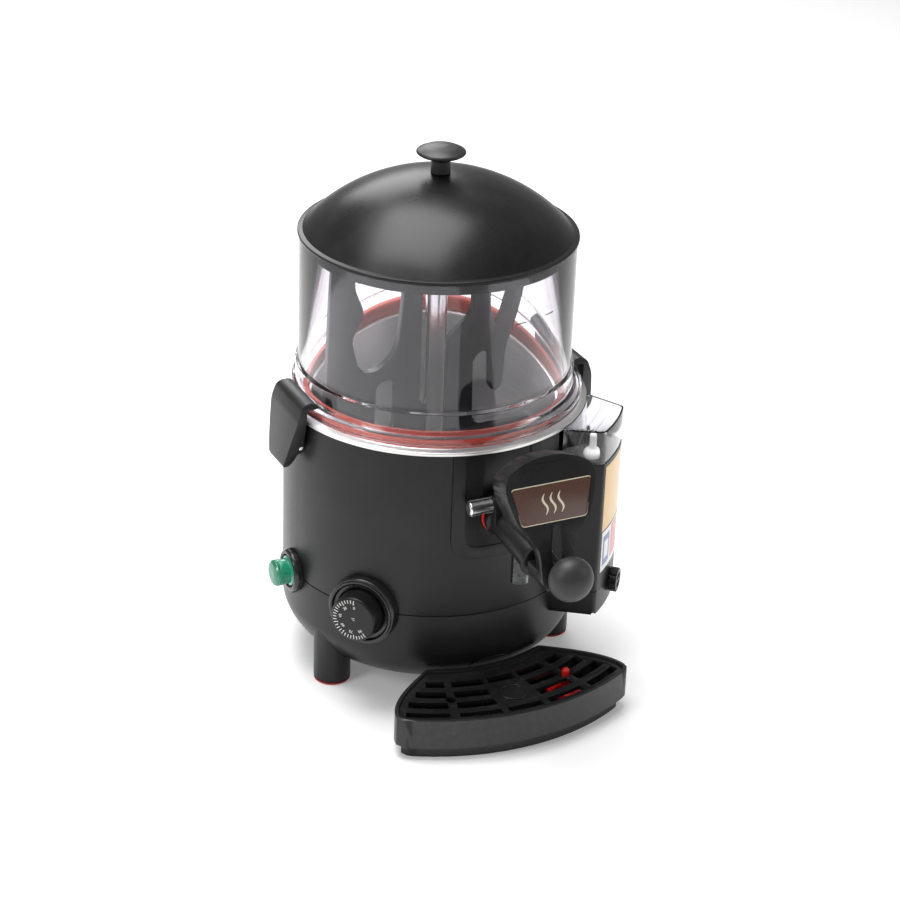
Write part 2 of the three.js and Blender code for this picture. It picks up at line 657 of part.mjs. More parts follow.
function labelOutline(extra) {
  const corners = [[-28.5, 54.5], [28.5, 54.5], [35.3, 85.5], [-35.3, 85.5]];
  return roundedPolygon(corners.map(([x, v]) => new THREE.Vector2(
    x + Math.sign(x) * extra, v + (v > 70 ? extra : -extra))), 3);
}

piece('hood', hood(), BLACK);
piece('label_plate', onHood(uprightSlab(labelOutline(0), -0.55, 0.25)), BROWN);

// ---------- water box ----------
function waterBox() {
  const outer = boxSlab(0, SEAM_Z + GAP / 2, BOX_TOP_Z);
  const inner = boxSlab(WALL, SEAM_Z + 3, BOX_TOP_Z + 10);
  const inside = cut(inner, bodyTool(BODY_R + GAP + WALL, 80, 240));
  return cut(outer, bodyTool(BODY_R + GAP, 80, 230), inside);
}

function waterCap() {
  const outer = boxSlab(0.2, BOX_TOP_Z + GAP, CAP_TOP_Z);
  const inner = boxSlab(2.2, BOX_TOP_Z - 5, CAP_TOP_Z - 2.2);
  const inside = cut(inner, bodyTool(BODY_R + 3.1, 200, 250));
  return cut(outer, bodyTool(BODY_R + 1.1, 200, 260), inside);
}

piece('water_box', waterBox(), BLACK);
piece('water_cap', waterCap(), CLEAR);

piece('level_float', turned([
  [0, 214], [6.5, 214], [7.8, 216], [7.8, 218.5], [4, 221.5], [3, 225], [3, 234], [0, 234],
], 16), WHITE).position.set(LEVEL_FLOAT.x, LEVEL_FLOAT.y, 0);

// Drain cap on the box's outer wall.
const drain = new THREE.Group();
const drainPlace = polar(BOX_OUTER_R, DRAIN_ANGLE);
drain.position.set(drainPlace.x, drainPlace.y, DRAIN_Z);
drain.rotation.z = rad(DRAIN_ANGLE);
machine.add(drain);

function drainCap() {
  const body = turned([[0, GAP], [9.5, GAP], [10.5, 1.5], [10.5, 5.5], [8.5, 7.5], [0, 7.5]], 16)
    .rotateX(Math.PI / 2);
  const ribs = [];
  const ribCount = 6;
  for (let i = 0; i < ribCount; i += 1) {
    ribs.push(block(2, 4.6, 2.4, 0, -3.4, 10.6).rotateY((i / ribCount) * Math.PI * 2));
  }
  return join(body, ...ribs);
}

piece('drain_cap', drainCap(), BLACK, drain);

// ---------- mains cable gland at the back ----------
piece('cable_gland', cut(closed(turned([
  [0, 120], [10.5, 120], [10.5, 137], [7, 144], [0, 144],
], 16).rotateX(Math.PI / 2).translate(0, 0, 74)), outwardRod(4, 110, 150, 74, 12),
bodyTool(BODY_R + GAP, 50, 91)), BLACK, station(180));

// ---------- drip tray, grid and float ----------
// Side angle of the tray in degrees at a distance from the machine's axis.
function traySide(r) {
  const widest = 186;
  const bend = r < widest ? 0.0021 : 0.0037;
  return 33.2 - bend * (r - widest) ** 2;
}

function trayOutline(inset, back = TRAY_BACK_R + inset) {
  const front = TRAY_FRONT_R - inset;
  const edge = (r) => traySide(r) - THREE.MathUtils.radToDeg(inset / r);
  const right = [];
  for (let i = 0; i <= 6; i += 1) {
    const r = back + ((front - 3 - back) * i) / 6;
    right.push(polar(r, edge(r)));
  }
  const frontArc = [];
  for (let i = 0; i <= 12; i += 1) {
    frontArc.push(polar(front, (edge(front) - 1.2) * (1 - i / 6)));
  }
  const left = right.map((point) => new THREE.Vector2(-point.x, point.y)).reverse();
  const backArc = [];
  for (let i = 1; i < 6; i += 1) {
    backArc.push(polar(back, edge(back) * (i / 3 - 1)));
  }
  return new THREE.Shape([...right, ...frontArc, ...left, ...backArc]);
}

const GRID_BACK_R = 129.6;      // the grid lifts clear of the body above its back edge
const GRID_TOP_Z = 36.5;
const GRID_BOTTOM_Z = 33;

function dripTray() {
  return cut(
    join(slab(trayOutline(0), TRAY_RIM_BOTTOM_Z, TRAY_TOP_Z),
      slab(trayOutline(RESERVOIR_INSET), 0, TRAY_RIM_BOTTOM_Z + 1)),
    slab(trayOutline(3, GRID_BACK_R - GAP), GRID_BOTTOM_Z - GAP, TRAY_TOP_Z + 5),
    slab(trayOutline(6.5, GRID_BACK_R + 3), TRAY_RIM_BOTTOM_Z + WALL, TRAY_TOP_Z),
    slab(trayOutline(RESERVOIR_INSET + WALL), WALL, 20),
  );
}

// Arc-shaped slot between two radii and two angles.
function arcSlot(inner, outer, from, to) {
  const points = [];
  const steps = 2;
  for (let i = 0; i <= steps; i += 1) points.push(polar(outer, from + ((to - from) * i) / steps));
  for (let i = steps; i >= 0; i -= 1) points.push(polar(inner, from + ((to - from) * i) / steps));
  return new THREE.Path(points);
}

const FLOAT_PLACE = polar(171, 18.4);
const FLOAT_HOLE_R = 4.5;
// Rows of slots, [inner radius, outer radius, outermost angle], and columns, [from, to] in degrees.
const GRID_ROWS = [[142.5, 151.5, 25.5], [158.5, 168, 28.4], [175, 184.5, 30], [191.5, 198.5, 30.2]];
const GRID_COLUMNS = [[-31, -19.3], [-17, -6.3], [-4.7, 4.7], [6.3, 17], [19.3, 31]];

function dripGrid() {
  const outline = trayOutline(3 + GAP, GRID_BACK_R);
  GRID_ROWS.forEach(([inner, outer, limit], row) => {
    GRID_COLUMNS.forEach(([from, to], column) => {
      const plainCentre = column === 2 && (row === 1 || row === 2);
      if (plainCentre) return;
      outline.holes.push(arcSlot(inner, outer, Math.max(from, -limit), Math.min(to, limit)));
    });
  });
  const holes = [-1, 1].map((side) => disc(FLOAT_HOLE_R, GRID_BOTTOM_Z - 1, GRID_TOP_Z + 1, 16)
    .translate(side * FLOAT_PLACE.x, FLOAT_PLACE.y, 0));
  return cut(slab(outline, GRID_BOTTOM_Z, GRID_TOP_Z, 4), ...holes);
}

piece('drip_tray', dripTray(), BLACK);
piece('drip_grid', dripGrid(), BLACK);
piece('tray_float', turned([
  [0, 20], [16, 20], [16, 25], [3.4, 26.5], [3.4, 40.5], [2.2, 42.5], [0, 42.5],
], 16), RED).position.set(FLOAT_PLACE.x, FLOAT_PLACE.y, 0);

// ---------- fasteners under the base ----------
[0, 120, 240].forEach((beta, i) => {
  piece(`base_screw_${i + 1}`, disc(4.5, BASE_FLAT_Z - 2.4, BASE_FLAT_Z - GAP, 8), STEEL,
    station(beta)).position.set(0, -50, 0);
});

// The origin goes to the middle of the bottom of the machine's box.
const box = new THREE.Box3().setFromObject(machine, true);
const centre = box.getCenter(new THREE.Vector3());
machine.position.set(-centre.x, -centre.y, -box.min.z);

export default machine;
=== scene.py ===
import math

import bmesh
import bpy
from mathutils import Matrix, Vector


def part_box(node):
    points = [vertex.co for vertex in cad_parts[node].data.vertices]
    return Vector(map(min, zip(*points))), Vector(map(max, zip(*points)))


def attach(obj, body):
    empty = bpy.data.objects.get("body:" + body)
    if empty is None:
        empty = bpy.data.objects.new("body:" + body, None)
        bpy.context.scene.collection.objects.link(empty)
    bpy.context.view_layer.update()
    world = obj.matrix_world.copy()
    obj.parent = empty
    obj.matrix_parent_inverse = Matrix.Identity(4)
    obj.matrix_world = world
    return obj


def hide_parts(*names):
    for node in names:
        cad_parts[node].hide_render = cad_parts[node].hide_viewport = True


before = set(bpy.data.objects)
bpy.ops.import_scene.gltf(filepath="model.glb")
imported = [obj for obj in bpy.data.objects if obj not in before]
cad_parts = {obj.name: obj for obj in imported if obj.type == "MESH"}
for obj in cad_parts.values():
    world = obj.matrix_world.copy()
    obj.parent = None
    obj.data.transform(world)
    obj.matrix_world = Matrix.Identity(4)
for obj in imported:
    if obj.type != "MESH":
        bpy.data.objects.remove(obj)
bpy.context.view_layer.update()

# ---------------------------------------------------------------------------
# Studio: a pale floor, soft light from above and both sides, and one camera.
# The machine stands on the floor, and its upright axis runs through the bowl.
# ---------------------------------------------------------------------------
mm = 0.001
scene = bpy.context.scene
scene.view_settings.view_transform = "Standard"

bowl_low, bowl_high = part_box("bowl")
axis = Vector(((bowl_low.x + bowl_high.x) / 2, (bowl_low.y + bowl_high.y) / 2, 0))

view_heading = math.radians(26.465)
view_down = math.radians(26.325)
view_roll = math.radians(2.05)
lens_data = bpy.data.cameras.new("camera")
lens_data.sensor_width = 36
lens_data.lens = 100.66
camera = bpy.data.objects.new("camera", lens_data)
scene.collection.objects.link(camera)
camera.matrix_world = (
    Matrix.Translation(axis + Vector((-0.8568, -1.7567, 1.1517)))
    @ Matrix.Rotation(-view_heading, 4, "Z")
    @ Matrix.Rotation(math.pi / 2 - view_down, 4, "X")
    @ Matrix.Rotation(view_roll, 4, "Z")
)
scene.camera = camera


def softbox(name, place, size, power, colour=(1, 1, 1)):
    """A square studio light at a place, aimed at the middle of the machine."""
    data = bpy.data.lights.new(name, "AREA")
    data.size = size
    data.energy = power
    data.color = colour
    light = bpy.data.objects.new(name, data)
    light.location = place
    aim = Vector((axis.x, axis.y, 0.25)) - Vector(place)
    light.rotation_euler = aim.to_track_quat("-Z", "Y").to_euler()
    scene.collection.objects.link(light)


softbox("top_light", (-0.25, 0.35, 2.1), 1.4, 50)
softbox("key_light", (-1.9, -0.4, 1.4), 0.7, 12)
softbox("fill_light", (1.8, -1.2, 1.2), 0.6, 6)
softbox("rim_light", (0.5, 2.2, 1.6), 1.2, 20)

world = bpy.data.worlds.new("studio")
scene.world = world
world.use_nodes = True
sky = world.node_tree
backdrop = sky.nodes["Background"]
backdrop.inputs["Color"].default_value = (1, 1, 1, 1)
rays = sky.nodes.new("ShaderNodeLightPath")
brightness = sky.nodes.new("ShaderNodeMapRange")
brightness.inputs["To Min"].default_value = 0.3
brightness.inputs["To Max"].default_value = 1.0
sky.links.new(rays.outputs["Is Camera Ray"], brightness.inputs["Value"])
sky.links.new(brightness.outputs["Result"], backdrop.inputs["Strength"])

floor_mesh = bpy.data.meshes.new("floor")
floor_mesh.from_pydata([(-6, -6, 0), (6, -6, 0), (6, 6, 0), (-6, 6, 0)], [], [(0, 1, 2, 3)])
floor = bpy.data.objects.new("floor", floor_mesh)
scene.collection.objects.link(floor)
floor_paint = bpy.data.materials.new("floor_paint")
floor_paint.use_nodes = True
floor_shader = floor_paint.node_tree.nodes["Principled BSDF"]
floor_shader.inputs["Base Color"].default_value = (0.93, 0.93, 0.93, 1)
floor_shader.inputs["Roughness"].default_value = 0.9
floor_shader.inputs["Specular IOR Level"].default_value = 0.1
floor_shader.inputs["Emission Color"].default_value = (1, 1, 1, 1)
floor_shader.inputs["Emission Strength"].default_value = 0.16
floor.data.materials.append(floor_paint)

# ---------------------------------------------------------------------------
# Base pan: the black moulded bowl under the seam, with four round feet and the
# skirt that carries the water box. One moulding, satin black, fine texture.
# ---------------------------------------------------------------------------
BODY_R = 128.4
BODY_WALL = 2.5
SEAM_Z = 92
FIT = 0.35
ROUND_CUT = 288


def shaded(bm, sharp):
    """Shades a mesh smooth, except where two faces meet at a sharper angle in degrees."""
    for face in bm.faces:
        face.smooth = True
    for edge in bm.edges:
        folded = len(edge.link_faces) == 2 and edge.calc_face_angle() > math.radians(sharp)
        edge.smooth = not folded


def built(name, bm, sharp=32):
    """Turns a bmesh into a shown object, smooth except where faces meet at a sharp angle."""
    bmesh.ops.remove_doubles(bm, verts=bm.verts, dist=0.002 * mm)
    bmesh.ops.recalc_face_normals(bm, faces=bm.faces)
    shaded(bm, sharp)
    mesh = bpy.data.meshes.new(name)
    bm.to_mesh(mesh)
    bm.free()
    piece = bpy.data.objects.new(name, mesh)
    scene.collection.objects.link(piece)
    return piece


def eased(corners, radius, closed=False, steps=4):
    """The same outline with every corner turned into a small curve."""
    corners = [Vector(corner) for corner in corners]
    count = len(corners)
    points = []
    for i, corner in enumerate(corners):
        if not closed and i in (0, count - 1):
            points.append(corner)
            continue
        before, after = corners[i - 1], corners[(i + 1) % count]
        size = radius[i] if isinstance(radius, (list, tuple)) else radius
        reach = min(size, (before - corner).length * 0.48, (after - corner).length * 0.48)
        if reach < 0.01:
            points.append(corner)
            continue
        start = corner + (before - corner).normalized() * reach
        end = corner + (after - corner).normalized() * reach
        for k in range(steps + 1):
            t = k / steps
            points.append(start * (1 - t) ** 2 + corner * (2 * t * (1 - t)) + end * t ** 2)
    return points


def turned(name, profile, place=None, closed=False, facets=144, sharp=32):
    """A turned piece. The profile is in millimetres, distance from the line and height along it.
    The line is the machine's axis unless place gives another frame."""
    bm = bmesh.new()
    rows = []
    for r, z in profile:
        count = 1 if r < 1e-6 else facets
        row = []
        for i in range(count):
            turn = 2 * math.pi * i / facets
            row.append(bm.verts.new((r * mm * math.cos(turn), r * mm * math.sin(turn), z * mm)))
        rows.append(row)
    pairs = list(zip(rows, rows[1:]))
    if closed:
        pairs.append((rows[-1], rows[0]))
    for low, high in pairs:
        for i in range(facets):
            j = (i + 1) % facets
            if len(low) == 1 and len(high) == 1:
                continue
            if len(low) == 1:
                bm.faces.new((low[0], high[i], high[j]))
            elif len(high) == 1:
                bm.faces.new((low[i], low[j], high[0]))
            else:
                bm.faces.new((low[i], low[j], high[j], high[i]))
    bm.transform(place if place is not None else Matrix.Translation(axis))
    return built(name, bm, sharp)


def plate(name, outline, low, high, place=None, ease=0.0, steps=3, sharp=32):
    """A flat piece: outline in millimetres, from one height to another, with eased rims."""
    bm = bmesh.new()
    bottom = [bm.verts.new((x * mm, y * mm, low * mm)) for x, y in outline]
    top = [bm.verts.new((x * mm, y * mm, high * mm)) for x, y in outline]
    caps = [bm.faces.new(bottom[::-1]), bm.faces.new(top)]
    for i in range(len(outline)):
        j = (i + 1) % len(outline)
        bm.faces.new((bottom[i], bottom[j], top[j], top[i]))
    if ease:
        rims = [edge for cap in caps for edge in cap.edges]
        bmesh.ops.bevel(bm, geom=rims, offset=ease * mm, segments=steps, profile=0.5,
                        affect="EDGES", clamp_overlap=True)
    bm.transform(place if place is not None else Matrix.Translation(axis))
    return built(name, bm, sharp)


def worked(piece, tool, operation="DIFFERENCE", sharp=32):
    """Cuts a tool out of a piece, or joins or crosses them, and leaves one clean mesh."""
    modifier = piece.modifiers.new("work", "BOOLEAN")
    modifier.object = tool
    modifier.operation = operation
    modifier.solver = "EXACT"
    settled(piece, sharp)
    bpy.data.objects.remove(tool)
    return piece


def settled(piece, sharp=32):
    """Applies a piece's modifiers and marks its sharp edges again."""
    graph = bpy.context.evaluated_depsgraph_get()
    made = bpy.data.meshes.new_from_object(piece.evaluated_get(graph))
    piece.modifiers.clear()
    bm = bmesh.new()
    bm.from_mesh(made)
    bmesh.ops.remove_doubles(bm, verts=bm.verts, dist=0.002 * mm)
    bmesh.ops.dissolve_degenerate(bm, edges=bm.edges, dist=0.001 * mm)
    shaded(bm, sharp)
    bm.to_mesh(made)
    bm.free()
    piece.data = made
    return piece


def softened(piece, width, steps=2, angle=40):
    """Rounds a piece's hard edges by a width in millimetres."""
    modifier = piece.modifiers.new("soften", "BEVEL")
    modifier.width = width * mm
    modifier.segments = steps
    modifier.limit_method = "ANGLE"
    modifier.angle_limit = math.radians(angle)
    modifier.use_clamp_overlap = True
    return settled(piece, 50)


def facing(beta, z=0):
    """Frame on the round body: x to the right, y up and z outward, beta degrees from the tap."""
    turn = math.radians(beta)
    return Matrix((
        (math.cos(turn), 0, math.sin(turn), axis.x),
        (math.sin(turn), 0, -math.cos(turn), axis.y),
        (0, 1, 0, z * mm),
        (0, 0, 0, 1),
    ))


def upright_at(low, high):
    """Frame with its origin on the floor under the middle of a box."""
    return Matrix.Translation(((low.x + high.x) / 2, (low.y + high.y) / 2, 0))


def base_curve(inset, steps=26):
    """The pan's rounded underside, from its flat bottom up to its straight wall."""
    flat_r, flat_z, straight_z, power = 69, 9.5, 56, 2 / 1.8
    points = []
    for i in range(steps + 1):
        turn = i / steps * math.pi / 2
        points.append((
            flat_r + (BODY_R - inset - flat_r) * math.sin(turn) ** power,
            straight_z - (straight_z - flat_z - inset) * math.cos(turn) ** power,
        ))
    return points


def effect_group(name, inputs, outputs):
    """An empty shader group with named inputs and outputs."""
    group = bpy.data.node_groups.new(name, "ShaderNodeTree")
    for label, kind, value in inputs:
        socket = group.interface.new_socket(label, in_out="INPUT", socket_type=kind)
        if value is not None:
            socket.default_value = value
    for label, kind in outputs:
        group.interface.new_socket(label, in_out="OUTPUT", socket_type=kind)
    return group, group.nodes.new("NodeGroupInput"), group.nodes.new("NodeGroupOutput")


def math_node(tree, operation, *values, clamp=False):
    """A Math node whose inputs are numbers or other nodes' outputs."""
    node = tree.nodes.new("ShaderNodeMath")
    node.operation = operation
    node.use_clamp = clamp
    for socket, value in zip(node.inputs, values):
        if isinstance(value, (int, float)):
            socket.default_value = value
        else:
            tree.links.new(value, socket)
    return node.outputs[0]


def noise_node(tree, vector, scale, detail=2.0, roughness=0.5):
    node = tree.nodes.new("ShaderNodeTexNoise")
    node.inputs["Detail"].default_value = detail
    node.inputs["Roughness"].default_value = roughness
    tree.links.new(vector, node.inputs["Vector"])
    if isinstance(scale, (int, float)):
        node.inputs["Scale"].default_value = scale
    else:
        tree.links.new(scale, node.inputs["Scale"])
    return node.outputs["Fac"]


def ramp_node(tree, value, low, high):
    """0 below low, 1 above high, smooth between."""
    node = tree.nodes.new("ShaderNodeMapRange")
    node.interpolation_type = "SMOOTHSTEP"
    node.inputs["From Min"].default_value = low
    node.inputs["From Max"].default_value = high
    tree.links.new(value, node.inputs["Value"])
    return node.outputs["Result"]


def mix_colour(tree, factor, first, second):
    node = tree.nodes.new("ShaderNodeMix")
    node.data_type = "RGBA"
    for socket, value in zip((node.inputs[0], node.inputs[6], node.inputs[7]),
                             (factor, first, second)):
        if isinstance(value, (int, float, tuple)):
            socket.default_value = value
        else:
            tree.links.new(value, socket)
    return node.outputs[2]


def moulded_grain():
    """Moulded plastic: fine spark texture, slow cloudiness, and roughness that follows both."""
    group, given, out = effect_group("moulded_grain", [
        ("Colour", "NodeSocketColor", (0.02, 0.02, 0.02, 1)),
        ("Grain Scale", "NodeSocketFloat", 2600.0),
        ("Roughness", "NodeSocketFloat", 0.4),
        ("Spread", "NodeSocketFloat", 0.12),
    ], [("Colour", "NodeSocketColor"), ("Roughness", "NodeSocketFloat"),
        ("Height", "NodeSocketFloat")])
    where = group.nodes.new("ShaderNodeTexCoord").outputs["Object"]
    grain = noise_node(group, where, given.outputs["Grain Scale"], 3.0)
    cloud = noise_node(group, where, 22.0, 4.0)
    speck = noise_node(group, where, 420.0, 2.0)
    lift = math_node(group, "MULTIPLY", math_node(group, "SUBTRACT", cloud, 0.5),
                     given.outputs["Spread"])
    fine = math_node(group, "MULTIPLY", math_node(group, "SUBTRACT", speck, 0.5), 0.1)
    base = math_node(group, "ADD", given.outputs["Roughness"], lift)
    rough = math_node(group, "ADD", base, fine, clamp=True)
    pale = mix_colour(group, 0.03, given.outputs["Colour"], (0.5, 0.5, 0.52, 1))
    shade = mix_colour(group, math_node(group, "MULTIPLY", ramp_node(group, cloud, 0.35, 0.8),
                                        0.35),
                       given.outputs["Colour"], pale)
    group.links.new(shade, out.inputs["Colour"])
    group.links.new(rough, out.inputs["Roughness"])
    group.links.new(grain, out.inputs["Height"])
    return group


def worn_edge():
    """Where hands and cloths rub: raised edges, broken up by a fine noise."""
    group, given, out = effect_group("worn_edge", [("Amount", "NodeSocketFloat", 0.5)],
                                     [("Mask", "NodeSocketFloat")])
    sharpness = group.nodes.new("ShaderNodeNewGeometry").outputs["Pointiness"]
    where = group.nodes.new("ShaderNodeTexCoord").outputs["Object"]
    broken = ramp_node(group, noise_node(group, where, 180.0, 4.0, 0.65), 0.35, 0.7)
    edge = ramp_node(group, sharpness, 0.53, 0.62)
    mask = math_node(group, "MULTIPLY", math_node(group, "MULTIPLY", edge, broken),
                     given.outputs["Amount"])
    group.links.new(mask, out.inputs["Mask"])
    return group


def settled_dust():
    """A thin uneven veil on faces that look up."""
    group, given, out = effect_group("settled_dust", [("Amount", "NodeSocketFloat", 0.1)],
                                     [("Mask", "NodeSocketFloat")])
    split = group.nodes.new("ShaderNodeSeparateXYZ")
    group.links.new(group.nodes.new("ShaderNodeNewGeometry").outputs["Normal"], split.inputs[0])
    where = group.nodes.new("ShaderNodeTexCoord").outputs["Object"]
    patch = ramp_node(group, noise_node(group, where, 35.0, 6.0, 0.7), 0.4, 0.75)
    up = ramp_node(group, split.outputs["Z"], 0.3, 1.0)
    mask = math_node(group, "MULTIPLY", math_node(group, "MULTIPLY", up, patch),
                     given.outputs["Amount"])
    group.links.new(mask, out.inputs["Mask"])
    return group


grain_effect, edge_effect, dust_effect = moulded_grain(), worn_edge(), settled_dust()


def placed_group(tree, group, **values):
    node = tree.nodes.new("ShaderNodeGroup")
    node.node_tree = group
    for label, value in values.items():
        node.inputs[label.replace("_", " ")].default_value = value
    return node


def plastic(name, colour, roughness=0.4, grain=2600.0, depth=0.02, wear=0.25, dust=0.02,
            coat=0.0, spread=0.1, shine=0.5):
    """Moulded plastic: grain, cloudy roughness, paler rubbed edges and a trace of dust."""
    paint = bpy.data.materials.new(name)
    paint.use_nodes = True
    tree = paint.node_tree
    shader = tree.nodes["Principled BSDF"]
    moulded = placed_group(tree, grain_effect, Colour=(*colour, 1), Grain_Scale=grain,
                           Roughness=roughness, Spread=spread)
    rubbed = placed_group(tree, edge_effect, Amount=wear)
    dusty = placed_group(tree, dust_effect, Amount=dust)
    pale = tuple(min(1, channel * 2.4 + 0.03) for channel in colour)
    edged = mix_colour(tree, rubbed.outputs["Mask"], moulded.outputs["Colour"], (*pale, 1))
    tinted = mix_colour(tree, dusty.outputs["Mask"], edged, (0.3, 0.29, 0.28, 1))
    tree.links.new(tinted, shader.inputs["Base Color"])
    rough = math_node(tree, "ADD", moulded.outputs["Roughness"],
                      math_node(tree, "MULTIPLY", dusty.outputs["Mask"], 0.6), clamp=True)
    tree.links.new(rough, shader.inputs["Roughness"])
    bump = tree.nodes.new("ShaderNodeBump")
    bump.inputs["Strength"].default_value = 0.35
    bump.inputs["Distance"].default_value = depth * mm
    tree.links.new(moulded.outputs["Height"], bump.inputs["Height"])
    tree.links.new(bump.outputs["Normal"], shader.inputs["Normal"])
    shader.inputs["Specular IOR Level"].default_value = shine
    shader.inputs["Coat Weight"].default_value = coat
    shader.inputs["Coat Roughness"].default_value = 0.12
    return paint


def painted(node_name, paint):
    """Gives a CAD node that keeps its built shape a finish."""
    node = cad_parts[node_name]
    node.data.materials.clear()
    node.data.materials.append(paint)


satin_black = plastic("satin_black", (0.006, 0.006, 0.0066), 0.36, depth=0.03, shine=0.32)


def finished(piece, paint, body, slot, *nodes):
    """Gives a piece its finish, rides it on its body and hides the CAD nodes that it stands for."""
    piece.data.materials.clear()
    piece.data.materials.append(paint)
    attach(piece, body)
    if nodes:
        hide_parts(*nodes)
    return piece


BOX_OUTER_R = 164
BOX_FRONT, BOX_REAR = 35.3, 55.3


def polar(r, beta):
    """A point at a distance from the machine's axis, beta degrees round from the tap."""
    return Vector((r * math.sin(math.radians(beta)), -r * math.cos(math.radians(beta))))


def box_outline(inset=0.0):
    """The water box seen from above: a block against the body with a curved outer wall."""
    steps = 24
    wall = [polar(BOX_OUTER_R, BOX_FRONT + (BOX_REAR - BOX_FRONT) * i / steps)
            for i in range(steps + 1)]
    corners = [Vector((70, -70)), Vector((45.4, -104)), *wall, Vector((111.6, -47.8))]
    count = len(corners)
    moved = []
    for i, corner in enumerate(corners):
        into = (corner - corners[i - 1]).normalized()
        away = (corners[(i + 1) % count] - corner).normalized()
        first, second = Vector((-into.y, into.x)), Vector((-away.y, away.x))
        middle = (first + second).normalized()
        moved.append(corner + middle * (inset / middle.dot(first)))
    front, rear = moved[2], moved[steps + 2]
    kept = [point for point in moved[3:steps + 2]
            if (point - front).length > 6 and (point - rear).length > 4]
    rounded_front = eased([moved[1], front, kept[0]], 6, steps=7)[1:-1]
    rounded_rear = eased([kept[-1], rear, moved[-1]], 4.5, steps=6)[1:-1]
    return [moved[0], moved[1], *rounded_front, *kept, *rounded_rear, moved[-1]]


def disc_tool(radius, low, high, place=None, facets=144):
    profile = [(0, low), (radius, low), (radius, high), (0, high)]
    return turned("tool", profile, place, facets=facets)


def body_tool(gap, low, high):
    """A tool as round as the body and a gap wider, which fits a piece round it."""
    return disc_tool(BODY_R + gap, low, high, facets=ROUND_CUT)


def pan_radius(z):
    """How far out the pan's rounded side stands at a height."""
    curve = base_curve(0, 60)
    for (r_low, z_low), (r_high, z_high) in zip(curve, curve[1:]):
        if z_low <= z <= z_high:
            return r_low + (r_high - r_low) * (z - z_low) / (z_high - z_low)
    return BODY_R


def moulded_arch():
    """A fine raised line on the pan's front, arched above the tray."""
    bm = bmesh.new()
    rows = []
    steps, sides, thick = 40, 8, 0.55
    for i in range(steps + 1):
        turn = math.pi * i / steps
        beta = 1.5 - 9.5 * math.cos(turn)
        z = 37 + 9 * math.sin(turn)
        middle = Vector((*polar(pan_radius(z) + 0.1, beta), z))
        across = Vector((math.cos(turn), 0, math.sin(turn)))
        away = Vector((math.sin(math.radians(beta)), -math.cos(math.radians(beta)), 0))
        rows.append([bm.verts.new((middle + (across * math.cos(a)
                                             + away * math.sin(a)) * thick) * mm)
                     for a in (2 * math.pi * k / sides for k in range(sides))])
    for first, second in zip(rows, rows[1:]):
        for k in range(sides):
            n = (k + 1) % sides
            bm.faces.new((first[k], first[n], second[n], second[k]))
    bm.faces.new(rows[0][::-1])
    bm.faces.new(rows[-1])
    bm.transform(Matrix.Translation(axis))
    return built("pan_arch_line", bm)


FEET = ("front_left", "front_right", "rear_right", "rear_left")
pan_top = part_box("base_pan")[1].z / mm
pan = turned("base_pan_moulding", [(0, 9.5), *base_curve(0), (BODY_R, pan_top - 0.7),
                                   (BODY_R - 0.7, pan_top), (0, pan_top)])
skirt = plate("tool", box_outline(), 70, 110, ease=4.5, steps=5)
worked(pan, skirt, "UNION")
for place in FEET:
    foot_place = upright_at(*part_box(f"foot_pad_{place}"))
    post = turned("tool", [(0, 2.4), (15.2, 2.4), (16, 3.2), (16, 60), (0, 60)], foot_place,
                  facets=64)
    worked(pan, post, "UNION")
worked(pan, plate("tool", [(-400, -400), (400, -400), (400, 400), (-400, 400)], pan_top, 200))
hollow = turned("tool", [(0, 12), *base_curve(BODY_WALL), (BODY_R - BODY_WALL, 120), (0, 120)])
worked(pan, hollow)
finished(pan, satin_black, "housing", "black_plastic", "base_pan", "box_skirt",
         "foot_front_left", "foot_front_right", "foot_rear_right", "foot_rear_left")
finished(moulded_arch(), satin_black, "housing", "black_plastic")

# ---------------------------------------------------------------------------
# Foot pads: four soft red discs pressed under the feet, so the machine doesn't
# slide. Matt rubber, slightly dirty where they meet the counter.
# ---------------------------------------------------------------------------
pad_rubber = plastic("pad_rubber", (0.32, 0.014, 0.012), 0.6, grain=1800, depth=0.06, wear=0.1,
                     dust=0.15)
for place in FEET:
    foot_place = upright_at(*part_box(f"foot_pad_{place}"))
    pad_profile = eased([(0, 0), (14.8, 0), (15.8, 0.9), (15.8, 2.1), (0, 2.1)], 0.5)
    pad = turned(f"foot_pad_rubber_{place}", pad_profile, foot_place, facets=64)
    finished(pad, pad_rubber, "housing", "red_plastic", f"foot_pad_{place}")

# ---------------------------------------------------------------------------
# Body shell: the round black casing from the seam up to the steel band. A thin
# moulded tube with holes for the tap and the switch.
# ---------------------------------------------------------------------------
shell_low, shell_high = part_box("body_shell")
shell_bottom, shell_top = shell_low.z / mm, shell_high.z / mm
TAP_Z = 185
DIAL_BETA = -50
SWITCH_BETA = -90
SWITCH_Z = 93
shell = turned("body_shell_moulding", eased([
    (BODY_R - BODY_WALL, shell_bottom), (BODY_R, shell_bottom), (BODY_R, shell_top),
    (BODY_R - BODY_WALL, shell_top)], 0.7, closed=True), closed=True)
TAP_HOLE_R = 14.8
worked(shell, disc_tool(TAP_HOLE_R, 100, 150, facing(0, TAP_Z), 64))
worked(shell, disc_tool(11, 100, 150, facing(SWITCH_BETA, SWITCH_Z), 48))
finished(shell, satin_black, "housing", "black_plastic", "body_shell")

# ---------------------------------------------------------------------------
# Front plate: a thin U-shaped cover bent round the body behind the tap, with a
# sunk field. It hides the tap's fixings and comes off first when servicing.
# ---------------------------------------------------------------------------
plate_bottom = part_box("front_plate")[0].z / mm
PLATE_HALF = 40


def arched(half, low, radius):
    return eased([(-half, low), (half, low), (half, shell_top), (-half, shell_top)],
                 [radius, radius, 0, 0], closed=True, steps=10)


